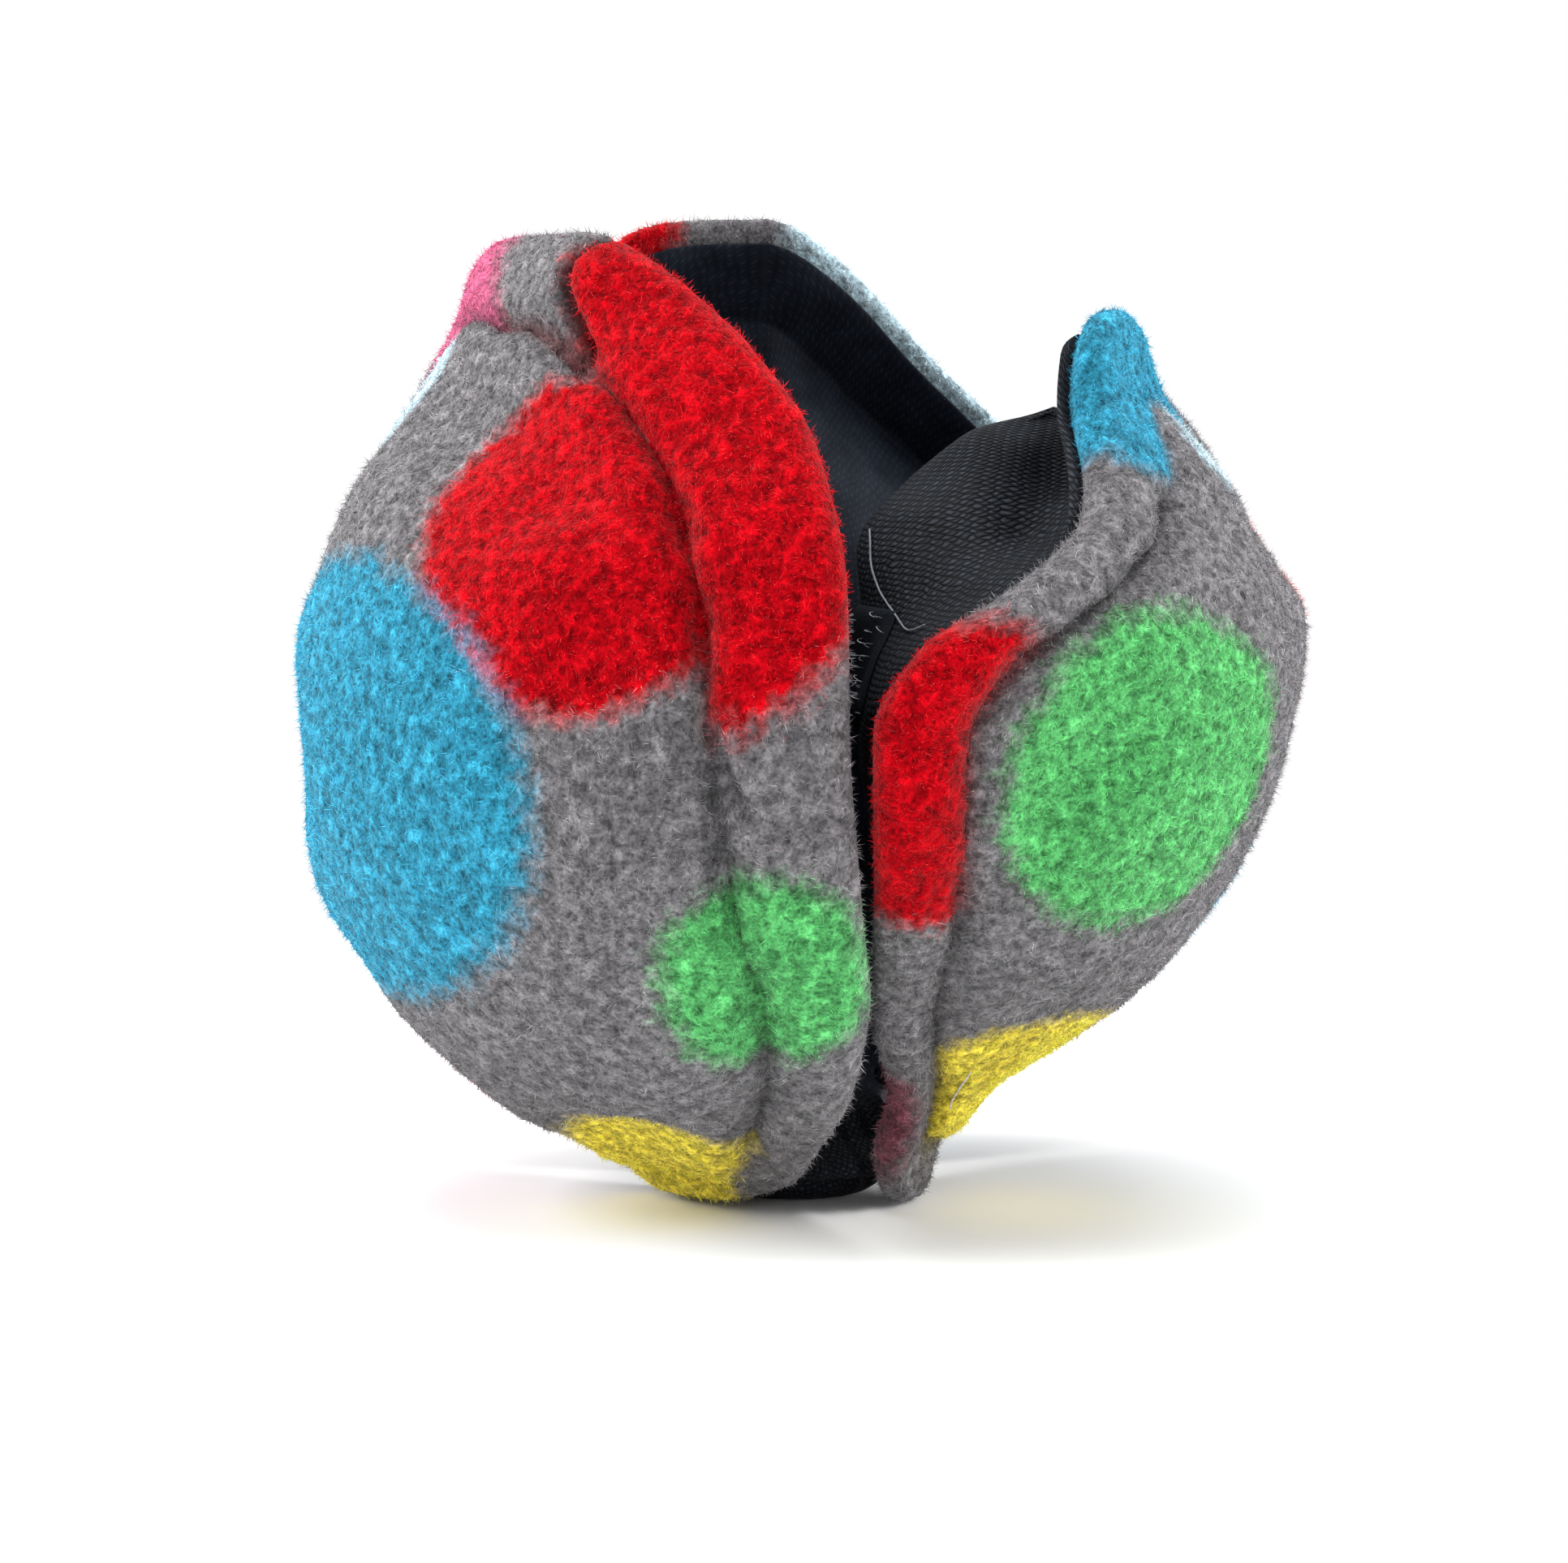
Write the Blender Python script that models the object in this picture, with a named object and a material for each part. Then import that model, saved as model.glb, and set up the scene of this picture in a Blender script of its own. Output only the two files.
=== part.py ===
# Fleece treat ball: three stuffed petals sewn round a woven base, with an open mouth on top.
# Each petal has a fleece cover with a topstitched flange, a black woven lining that bulges
# towards the middle, a filling, and hook and loop tapes on the lining's walls.
# Lengths are in metres, +Z is up, -Y is the front, and the origin is the centre of the base's
# flat face. Every petal bends at its root and at a knuckle halfway up.
# Azimuths are measured round Z from the front towards +X, latitudes from the ball's middle.

import math

import bmesh
import bpy
from mathutils import Matrix, Vector

# Ball
BALL_RADIUS = 0.060
SEAM_DEPTH = 0.005
FLEECE_ROOT_HEIGHT = 0.0044
SECTOR_HALF_ANGLE = 60.0

# Petal cover
FLANGE_WIDTH = 0.0160
FLANGE_THICKNESS = 0.0055
FLEECE_THICKNESS = 0.0025
GROOVE_DEPTH = 0.0020
GROOVE_WIDTH = 0.0044
SHOULDER_RISE = 0.0005
CROWN_POWER = 2.5

# Lining, filling and tapes
LINING_THICKNESS = 0.0009
LINING_SETBACK = 0.0014
DOME_POWER = 3.0
DOME_END_POWER = 1.3
FILLING_SETBACK = 0.0022
TAPE_THICKNESS = 0.0011
FIT_GAP = 0.0004
FILLING_GAP = 0.0007

# Base
BASE_FLAT_RADIUS = 0.0088
BASE_RADIUS = 0.0118
BASE_RIM_HEIGHT = 0.0034
BASE_THICKNESS = 0.0012
CORE_TOP_HEIGHT = 0.0120
CORE_CROWN = 0.0012
STITCH_RING_RADIUS = 0.0072
THREAD_RADIUS = 0.0005

# Hinges
ROOT_HINGE_HEIGHT = 0.0034
CUTTER_OVERRUN = 0.0300
MERGE_DISTANCE = 0.00001

# Sizes that follow: the sphere of the seams, and its middle, which is the knuckles' height too
SEAM_RADIUS = BALL_RADIUS - SEAM_DEPTH
CENTRE_HEIGHT = FLEECE_ROOT_HEIGHT + math.sqrt(SEAM_RADIUS ** 2 - (BASE_RADIUS + FIT_GAP) ** 2)

# Counts
ROWS = 18
OUTLINE_STEPS = 160
KNUCKLE_SEGMENTS = 16
KNUCKLE_STATIONS = 14
ROUND_SEGMENTS = 32
THREAD_SEGMENTS = 6

# The knuckle, in shares of the ball's radius: its axis from the middle, and its rounding's
# radius for places out along the axis
KNUCKLE_DISTANCE_SHARE = 0.5
KNUCKLE_SHARES = ((0, 0.55), (0.25, 0.525), (0.42, 0.458), (0.55, 0.35), (0.667, 0.232), (0.733, 0.168),
                  (0.8, 0.098), (0.85, 0.09), (1.0, 0.09))

# Most of a short row that its flange takes
FLANGE_LIMIT_SHARE = 0.62

# Shares of the way from the shoulder of the groove to the spine, on the cover's face and on its
# back, and shares of the dome's wall
COVER_SHARES = (0.3, 0.65, 1.0)
BACK_SHARES = (0.45, 1.0)
DOME_SHARES = (0.12, 0.3, 0.6, 1.0)

# Petals. The root and tip angles, in degrees, keep the spine's ends off the root and the tip. An
# outline is latitude in degrees and a share of the sector's half angle, from above the root's
# corner to the tip. Flange shares are latitude and a share of the flange's greatest width. A
# profile is latitude and a share of the ball's radius. A ridge is the lining's inner line from
# root to tip: a share of its length, then its distance from the axis and its height as shares of
# the ball's radius.
PETALS = {
    "left": {
        "azimuth": -52.0,
        "tip_latitude": 60.0,
        "root_angle": 13.0,
        "tip_angle": 21.0,
        "outline_shares": {
            "right": ((-70, 0.96), (-50, 1.05), (-36, 1.045), (-20, 1.00), (0, 0.97), (15, 0.97), (33, 0.92),
                      (45, 0.76), (50, 0.63), (55, 0.45), (58.5, 0.26), (59.7, 0.12), (60, 0.0)),
            "left": ((-70, 0.80), (-50, 0.95), (-30, 0.98), (0, 0.98), (15, 0.97), (33, 0.93),
                     (45, 0.90), (52, 0.87), (56, 0.80), (59, 0.56), (59.8, 0.28), (60, 0.0)),
        },
        "flange_shares": ((-73, 0.50), (-40, 0.66), (-20, 0.78), (10, 0.91), (35, 1.00), (60, 0.81)),
        "profile_shares": ((-78, 0.985), (-68, 0.95), (-60, 0.95), (-50, 0.965), (-40, 0.98), (-20, 0.99),
                           (10, 0.975), (30, 0.975), (45, 1.02), (55, 1.08), (60, 1.105)),
        "ridge_shares": ((0, 0.34, 0.33), (0.15, 0.285, 0.46), (0.35, 0.24, 0.68), (0.55, 0.225, 0.93),
                         (0.75, 0.24, 1.18), (0.9, 0.33, 1.38), (1.0, 0.47, 1.51)),
    },
    "right": {
        "azimuth": 68.0,
        "tip_latitude": 49.7,
        "root_angle": 13.0,
        "tip_angle": 15.0,
        "outline_shares": {
            "left": ((-70, 0.72), (-55, 0.86), (-38, 0.92), (-20, 0.965), (0, 0.99), (8.6, 0.905),
                     (13.4, 0.765), (19, 0.605), (23.3, 0.50), (38, 0.335), (45, 0.26), (48.5, 0.165),
                     (49.5, 0.08), (49.7, 0.0)),
            "right": ((-70, 0.80), (-50, 0.95), (-30, 0.98), (-3, 0.98), (8, 0.94), (20, 0.78), (31, 0.54),
                      (40, 0.36), (45.5, 0.23), (49, 0.10), (49.7, 0.0)),
        },
        "flange_shares": ((-73, 0.41), (-40, 0.45), (-20, 0.56), (10, 0.60), (24, 0.55), (38, 0.56),
                          (49, 0.60)),
        "profile_shares": ((-78, 0.95), (-69, 0.88), (-60, 0.85), (-46, 0.86), (-30, 0.90), (-18, 0.94),
                           (-4, 0.99), (10, 1.03), (25, 0.99), (38, 0.97), (49.7, 1.07)),
        "ridge_shares": ((0, 0.34, 0.33), (0.15, 0.285, 0.47), (0.35, 0.235, 0.71), (0.55, 0.22, 0.98),
                         (0.72, 0.225, 1.22), (0.84, 0.27, 1.38), (0.93, 0.38, 1.48), (1.0, 0.54, 1.54)),
    },
    "back": {
        "azimuth": 188.0,
        "tip_latitude": 70.0,
        "root_angle": 13.0,
        "tip_angle": 19.0,
        "outline_shares": {
            "left": ((-70, 0.80), (-50, 0.95), (-30, 0.98), (0, 0.98), (20, 0.93), (38, 0.75), (52, 0.57),
                     (61, 0.43), (66, 0.28), (69, 0.12), (70, 0.0)),
            "right": ((-70, 0.80), (-50, 0.95), (-30, 0.98), (0, 0.98), (20, 0.95), (38, 0.87), (52, 0.80),
                      (61, 0.80), (66, 0.78), (68.5, 0.60), (69.7, 0.30), (70, 0.0)),
        },
        "flange_shares": ((-73, 0.50), (0, 0.69), (70, 0.69)),
        "profile_shares": ((-78, 0.99), (-68, 0.97), (-58, 0.96), (-40, 0.98), (0, 0.98), (45, 1.0),
                           (60, 1.055), (70, 1.125)),
        "ridge_shares": ((0, 0.34, 0.33), (0.15, 0.30, 0.46), (0.35, 0.265, 0.70), (0.55, 0.26, 0.96),
                         (0.75, 0.27, 1.24), (0.9, 0.34, 1.46), (1.0, 0.45, 1.60)),
    },
}

# Tapes: shares of the rows from root to tip, then of the wall from the seam to the ridge
TAPE_ROW_SHARES = (0.50, 0.64)
TAPE_WALL_SHARES = (0.42, 0.86)
TAPE_STEPS = 4

# Colour, roughness and metallic of each material
MATERIALS = {
    "grey_fleece": ((0.20, 0.19, 0.20), 0.95, 0.0),
    "black_weave": ((0.012, 0.014, 0.018), 0.80, 0.0),
    "polyester_filling": ((0.80, 0.80, 0.78), 0.95, 0.0),
    "hook_tape": ((0.015, 0.015, 0.018), 0.60, 0.0),
    "loop_tape": ((0.020, 0.020, 0.024), 0.95, 0.0),
    "black_thread": ((0.015, 0.015, 0.018), 0.70, 0.0),
}


# Tables

def table_value(table, place):
    # Smooth value of column 1 of a table at a place of column 0, without overshoot
    if place <= table[0][0]:
        return table[0][1]
    if place >= table[-1][0]:
        return table[-1][1]
    slopes = [(b[1] - a[1]) / (b[0] - a[0]) for a, b in zip(table, table[1:])]
    tangents = [slopes[0]]
    for before, after in zip(slopes, slopes[1:]):
        level = before * after <= 0
        tangents.append(0.0 if level else 2 * before * after / (before + after))
    tangents.append(slopes[-1])
    index = max(i for i, entry in enumerate(table[:-1]) if entry[0] <= place)
    low, high = table[index], table[index + 1]
    span = high[0] - low[0]
    share = (place - low[0]) / span
    rise = share * share * (3 - 2 * share)
    start_pull = share * (1 - share) ** 2 * span * tangents[index]
    end_pull = share * share * (share - 1) * span * tangents[index + 1]
    return low[1] + (high[1] - low[1]) * rise + start_pull + end_pull


# Places on a petal, in its own frame: X outwards, Y to its right from outside, Z up

def surface_point(petal, latitude, azimuth, height):
    share = table_value(petal["profile_shares"], latitude)
    radius = (SEAM_RADIUS + height) * share
    flat = radius * math.cos(math.radians(latitude))
    turn = math.radians(azimuth)
    lift = radius * math.sin(math.radians(latitude))
    return Vector((flat * math.cos(turn), flat * math.sin(turn), CENTRE_HEIGHT + lift))


def knuckle_place():
    return Vector((BALL_RADIUS * KNUCKLE_DISTANCE_SHARE, 0.0, CENTRE_HEIGHT))


def root_latitude(petal):
    radius = SEAM_RADIUS * petal["profile_shares"][0][1]
    return -math.degrees(math.acos((BASE_RADIUS + FIT_GAP) / radius))


def outline(petal, side):
    # Evenly spaced (latitude, azimuth) pairs from the root's middle to the tip
    shares = petal["outline_shares"][side]
    sign = 1 if side == "right" else -1
    root = root_latitude(petal)
    corner_latitude, corner_share = shares[0]
    fine = []
    for step in range(OUTLINE_STEPS):
        angle = math.pi / 2 * step / OUTLINE_STEPS
        latitude = root + (corner_latitude - root) * (1 - math.cos(angle))
        fine.append((latitude, sign * SECTOR_HALF_ANGLE * corner_share * math.sin(angle)))
    for step in range(OUTLINE_STEPS + 1):
        angle = math.pi / 2 * step / OUTLINE_STEPS
        latitude = corner_latitude + (petal["tip_latitude"] - corner_latitude) * math.sin(angle)
        fine.append((latitude, sign * SECTOR_HALF_ANGLE * table_value(shares, latitude)))
    places = [surface_point(petal, latitude, azimuth, 0.0) for latitude, azimuth in fine]
    lengths = [0.0]
    for a, b in zip(places, places[1:]):
        lengths.append(lengths[-1] + (b - a).length)
    points = []
    for row in range(ROWS + 1):
        wanted = lengths[-1] * row / ROWS
        index = max(i for i, length in enumerate(lengths[:-1]) if length <= wanted)
        share = (wanted - lengths[index]) / (lengths[index + 1] - lengths[index])
        low, high = fine[index], fine[index + 1]
        points.append((low[0] + (high[0] - low[0]) * share, low[1] + (high[1] - low[1]) * share))
    return points


def petal_rows(petal):
    # One entry for each row: the edge on each side, the spine's latitude, the ridge's point and
    # how steeply the dome's wall rises
    root = root_latitude(petal)
    tip = petal["tip_latitude"]
    edges = {side: outline(petal, side) for side in ("right", "left")}
    distances = [(share, distance) for share, distance, height in petal["ridge_shares"]]
    heights = [(share, height) for share, distance, height in petal["ridge_shares"]]
    rows = []
    for index in range(ROWS + 1):
        mean = (edges["right"][index][0] + edges["left"][index][0]) / 2
        level = (mean - root) / (tip - root)
        share = (level + index / ROWS) / 2
        spine = root + petal["root_angle"] + (tip - petal["tip_angle"] - root - petal["root_angle"]) * share
        ridge = Vector((table_value(distances, share), 0.0, table_value(heights, share))) * BALL_RADIUS
        power = DOME_END_POWER + (DOME_POWER - DOME_END_POWER) * math.sin(math.pi * share)
        rows.append({
            "right": edges["right"][index],
            "left": edges["left"][index],
            "spine": spine,
            "ridge": ridge,
            "power": power,
        })
    return rows


def row_measures(petal, row, side):
    # Length from edge to spine, and the flange's width, kept under most of a short row
    edge = surface_point(petal, row[side][0], row[side][1], 0.0)
    spine = surface_point(petal, row["spine"], 0.0, 0.0)
    length = (edge - spine).length
    width = FLANGE_WIDTH * table_value(petal["flange_shares"], row[side][0])
    return length, min(width, length * FLANGE_LIMIT_SHARE)


def across(petal, row, side, distance, height):
    # Point of a row at a distance from the edge and a height above the seam's surface
    length, width = row_measures(petal, row, side)
    share = min(distance / length, 1.0)
    latitude = row[side][0] + (row["spine"] - row[side][0]) * share
    return surface_point(petal, latitude, row[side][1] * (1 - share), height)


def crown_height(share):
    rise = BALL_RADIUS - SEAM_RADIUS - FLANGE_THICKNESS / 2 - SHOULDER_RISE
    return FLANGE_THICKNESS / 2 + SHOULDER_RISE + rise * (1 - (1 - share) ** CROWN_POWER)


def body_distance(petal, row, side, share):
    length, width = row_measures(petal, row, side)
    start = width + GROOVE_WIDTH / 2
    return start + (length - start) * share


def dome_point(row, start, share):
    # Point on the lining's dome, a share of the way from the seam to the ridge
    ridge = row["ridge"]
    left_over = 1 - share
    lift = left_over ** row["power"]
    risen = ridge + (start - ridge) * lift
    return Vector((risen.x, start.y * left_over, risen.z))


# Lines of points from a petal's edge to its spine

def cover_outside(petal, row, side):
    half = FLANGE_THICKNESS / 2
    length, width = row_measures(petal, row, side)
    rounding = math.radians(45)
    steps = [
        (0.0, 0.0),
        (half * (1 - math.cos(rounding)), half * math.sin(rounding)),
        (half, half),
        (width - GROOVE_WIDTH / 2, half),
        (width, half - GROOVE_DEPTH),
        (width + GROOVE_WIDTH / 2, crown_height(0.0)),
    ]
    for share in COVER_SHARES:
        steps.append((body_distance(petal, row, side, share), crown_height(share)))
    return [across(petal, row, side, distance, height) for distance, height in steps]


def cover_inside(petal, row, side):
    half = FLANGE_THICKNESS / 2
    length, width = row_measures(petal, row, side)
    rounding = math.radians(60)
    steps = [
        (0.0, 0.0),
        (half * (1 - math.cos(rounding)), -half * math.sin(rounding)),
        (width - GROOVE_WIDTH / 2, -half),
        (width + GROOVE_WIDTH / 2, crown_height(0.0) - FLEECE_THICKNESS),
    ]
    for share in BACK_SHARES:
        steps.append((body_distance(petal, row, side, share), crown_height(share) - FLEECE_THICKNESS))
    return [across(petal, row, side, distance, height) for distance, height in steps]


def lining_visible(petal, row, side):
    # Flat on the flange, then up the dome
    length, width = row_measures(petal, row, side)
    height = -FLANGE_THICKNESS / 2 - FIT_GAP - LINING_THICKNESS
    edge = FLANGE_THICKNESS / 2 + LINING_SETBACK
    points = [
        across(petal, row, side, edge, height + LINING_THICKNESS / 2),
        across(petal, row, side, width, height),
    ]
    start = points[-1]
    for share in DOME_SHARES:
        points.append(dome_point(row, start, share))
    return points


def filling_outside(petal, row, side):
    points = []
    for share in BACK_SHARES:
        height = crown_height(share) - FLEECE_THICKNESS - FIT_GAP
        points.append(across(petal, row, side, body_distance(petal, row, side, share), height))
    return points


# Sheets: for each place round a petal's edge, the side, the row and a line of points

def sheet_loop():
    return [("right", index) for index in range(ROWS)] + [("left", index) for index in range(ROWS, 0, -1)]


def sheet(petal, line):
    rows = petal_rows(petal)
    return [line(petal, rows[index], side) for side, index in sheet_loop()]


def add_sheet(shape, lines, edge=None):
    # Faces of a sheet, which closes along its spine; edge gives the vertices of another's edge
    loop = sheet_loop()
    spine = {}
    for (side, index), points in zip(loop, lines):
        if index not in spine:
            spine[index] = shape.verts.new(points[-1])
    rings = []
    for place, points in enumerate(lines):
        first = shape.verts.new(points[0]) if edge is None else edge[place]
        rings.append([first] + [shape.verts.new(point) for point in points[1:-1]])
    for place in range(len(loop)):
        following = (place + 1) % len(loop)
        low, high = rings[place], rings[following]
        for step in range(len(low) - 1):
            shape.faces.new((low[step], high[step], high[step + 1], low[step + 1]))
        start, end = spine[loop[place][1]], spine[loop[following][1]]
        shape.faces.new((low[-1], high[-1], end, start))
    return [ring + [spine[index]] for ring, (side, index) in zip(rings, loop)]


def offset_sheet(lines, distance):
    # The sheet moved along its own normals, outwards for a distance above zero
    shape = bmesh.new()
    rings = add_sheet(shape, lines)
    shape.normal_update()
    moved = [[vert.co + vert.normal * distance for vert in ring] for ring in rings]
    shape.free()
    return moved


def fill_between(shape, first, second):
    # A closed body between two sheets that share their edge
    rings = add_sheet(shape, first)
    add_sheet(shape, second, [ring[0] for ring in rings])
    bmesh.ops.triangulate(shape, faces=shape.faces)


def cover_sheets(petal):
    return sheet(petal, cover_outside), sheet(petal, cover_inside)


def lining_sheets(petal):
    visible = sheet(petal, lining_visible)
    hidden = offset_sheet(visible, LINING_THICKNESS)
    hidden = [[shown[0]] + line[1:] for shown, line in zip(visible, hidden)]
    return visible, hidden


def filling_sheets(petal):
    visible = sheet(petal, lining_visible)
    nook = offset_sheet(visible, LINING_THICKNESS + FILLING_SETBACK)
    close = offset_sheet(visible, LINING_THICKNESS + FILLING_GAP)
    inside = [[far[1]] + near[3:] for far, near in zip(nook, close)]
    outside = [[far[1]] + line for far, line in zip(nook, sheet(petal, filling_outside))]
    return outside, inside


# Meshes

def new_material(name):
    colour, roughness, metallic = MATERIALS[name]
    material = bpy.data.materials.new(name)
    material.use_nodes = True
    shader = material.node_tree.nodes["Principled BSDF"]
    shader.inputs["Base Color"].default_value = (*colour, 1.0)
    shader.inputs["Roughness"].default_value = roughness
    shader.inputs["Metallic"].default_value = metallic
    material.diffuse_color = (*colour, 1.0)
    return material


def mesh_from(name, fill):
    # A mesh that a function has filled, with its faces turned outwards
    mesh = bpy.data.meshes.new(name)
    shape = bmesh.new()
    fill(shape)
    bmesh.ops.recalc_face_normals(shape, faces=shape.faces)
    shape.to_mesh(mesh)
    shape.free()
    mesh.shade_smooth()
    mesh.set_sharp_from_angle(angle=math.radians(50))
    return mesh


def fill_tape(shape, petal, side):
    # A patch that follows the lining's wall, one gap off its visible face
    rows = petal_rows(petal)
    low_row, high_row = [share * ROWS for share in TAPE_ROW_SHARES]
    low_wall, high_wall = TAPE_WALL_SHARES

    def wall_point(row_place, share):
        index = int(row_place)
        part = row_place - index
        ends = []
        for row in (rows[index], rows[index + 1]):
            start = lining_visible(petal, row, side)[1]
            ends.append(dome_point(row, start, share))
        return ends[0].lerp(ends[1], part)

    sheets = []
    for offset in (FIT_GAP, FIT_GAP + TAPE_THICKNESS):
        sheet = []
        for i in range(TAPE_STEPS + 1):
            line = []
            for j in range(TAPE_STEPS + 1):
                row_place = low_row + (high_row - low_row) * i / TAPE_STEPS
                share = low_wall + (high_wall - low_wall) * j / TAPE_STEPS
                place = wall_point(row_place, share)
                nudge = 0.01
                along = wall_point(row_place + nudge, share) - place
                up_wall = wall_point(row_place, share + nudge) - place
                normal = along.cross(up_wall).normalized()
                if normal.x > 0:
                    normal.negate()
                line.append(shape.verts.new(place + normal * offset))
            sheet.append(line)
        sheets.append(sheet)
    back, front = sheets
    for i in range(TAPE_STEPS):
        for j in range(TAPE_STEPS):
            for sheet in sheets:
                shape.faces.new((sheet[i][j], sheet[i + 1][j], sheet[i + 1][j + 1], sheet[i][j + 1]))
    for step in range(TAPE_STEPS):
        for i, j, k, l in (
            (step, 0, step + 1, 0),
            (step, TAPE_STEPS, step + 1, TAPE_STEPS),
            (0, step, 0, step + 1),
            (TAPE_STEPS, step, TAPE_STEPS, step + 1),
        ):
            shape.faces.new((back[i][j], back[k][l], front[k][l], front[i][j]))
    bmesh.ops.triangulate(shape, faces=shape.faces)


def fill_knuckle(shape, gap):
    # Everything above the knuckle: a rounding turned about its axis, and a wide block over it
    reach = BALL_RADIUS + CUTTER_OVERRUN
    wide = Vector((reach, 0.0, 0.0))
    tall = Vector((0.0, 0.0, reach))
    rings = []
    for station in range(-KNUCKLE_STATIONS, KNUCKLE_STATIONS + 1):
        share = station / KNUCKLE_STATIONS
        radius = BALL_RADIUS * table_value(KNUCKLE_SHARES, abs(share)) + gap
        centre = knuckle_place() + Vector((0.0, BALL_RADIUS * share, 0.0))
        points = []
        for step in range(KNUCKLE_SEGMENTS + 1):
            angle = math.pi + math.pi * step / KNUCKLE_SEGMENTS
            points.append(centre + Vector((radius * math.cos(angle), 0.0, radius * math.sin(angle))))
        points += [centre + wide, centre + wide + tall, centre - wide + tall, centre - wide]
        rings.append([shape.verts.new(point) for point in points])
    for low, high in zip(rings, rings[1:]):
        for step in range(len(low)):
            following = (step + 1) % len(low)
            shape.faces.new((low[step], low[following], high[following], high[step]))
    shape.faces.new(rings[0])
    shape.faces.new(rings[-1])
    bmesh.ops.triangulate(shape, faces=shape.faces)


def fill_turned(shape, profile):
    # A closed profile of (radius, height) points turned round Z
    verts = [shape.verts.new((radius, 0.0, height)) for radius, height in profile]
    edges = [shape.edges.new(pair) for pair in zip(verts, verts[1:] + verts[:1])]
    bmesh.ops.spin(
        shape, geom=verts + edges, axis=(0.0, 0.0, 1.0), cent=(0.0, 0.0, 0.0),
        angle=2 * math.pi, steps=ROUND_SEGMENTS, use_merge=True)
    bmesh.ops.remove_doubles(shape, verts=shape.verts, dist=MERGE_DISTANCE)
    flat = [face for face in shape.faces if face.calc_area() == 0]
    bmesh.ops.delete(shape, geom=flat, context="FACES")


# Objects

def new_object(name, mesh, material=None, parent=None):
    piece = bpy.data.objects.new(name, mesh)
    bpy.context.scene.collection.objects.link(piece)
    if material is not None:
        mesh.materials.append(material)
    piece.parent = parent
    return piece


def new_cutter(name, mesh, parent):
    cutter = new_object(name, mesh, None, parent)
    cutter.hide_render = True
    cutter.display_type = "WIRE"
    return cutter


def new_hinge(name, place, azimuth, parent):
    # Empty on a hinge's axis, its X pointing out of the ball and its Y along the axis
    hinge = bpy.data.objects.new(name, None)
    bpy.context.scene.collection.objects.link(hinge)
    hinge.parent = parent
    hinge.location = place
    hinge.rotation_euler = (0.0, 0.0, azimuth)
    return hinge


def cut(piece, cutter, operation):
    modifier = piece.modifiers.new("knuckle", "BOOLEAN")
    modifier.operation = operation
    modifier.solver = "EXACT"
    modifier.object = cutter


def moved_copy(mesh, name, place):
    copy = mesh.copy()
    copy.name = name
    copy.transform(Matrix.Translation(-place))
    return copy


def build_petal(name, petal, materials):
    root = Vector((BASE_RADIUS + FIT_GAP, 0.0, ROOT_HINGE_HEIGHT))
    knuckle = knuckle_place()
    turn = math.radians(petal["azimuth"]) - math.pi / 2
    spin = Matrix.Rotation(turn, 4, "Z")
    root_hinge = new_hinge(name + "_root_hinge", spin @ root, turn, None)
    knuckle_hinge = new_hinge(name + "_knuckle_hinge", knuckle - root, 0.0, root_hinge)

    convex = mesh_from(name + "_knuckle_end", lambda shape: fill_knuckle(shape, 0.0))
    concave = mesh_from(name + "_knuckle_seat", lambda shape: fill_knuckle(shape, FIT_GAP))
    end_cutter = new_cutter(name + "_end_cutter", moved_copy(convex, convex.name, knuckle), knuckle_hinge)
    seat_cutter = new_cutter(name + "_seat_cutter", moved_copy(concave, concave.name, root), root_hinge)

    layers = (
        ("fleece", cover_sheets, materials["grey_fleece"]),
        ("lining", lining_sheets, materials["black_weave"]),
        ("filling", filling_sheets, materials["polyester_filling"]),
    )
    for layer, sheets, material in layers:
        first, second = sheets(petal)
        whole = mesh_from(layer, lambda shape: fill_between(shape, first, second))
        lower_name = name + "_" + layer + "_lower"
        upper_name = name + "_" + layer + "_upper"
        lower = new_object(lower_name, moved_copy(whole, lower_name, root), material, root_hinge)
        upper = new_object(upper_name, moved_copy(whole, upper_name, knuckle), material, knuckle_hinge)
        cut(lower, seat_cutter, "DIFFERENCE")
        cut(upper, end_cutter, "INTERSECT")

    for tape, side in (("hook_tape", "left"), ("loop_tape", "right")):
        patch = mesh_from(tape, lambda shape: fill_tape(shape, petal, side))
        patch_name = name + "_" + tape
        new_object(patch_name, moved_copy(patch, patch_name, knuckle), materials[tape], knuckle_hinge)


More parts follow.
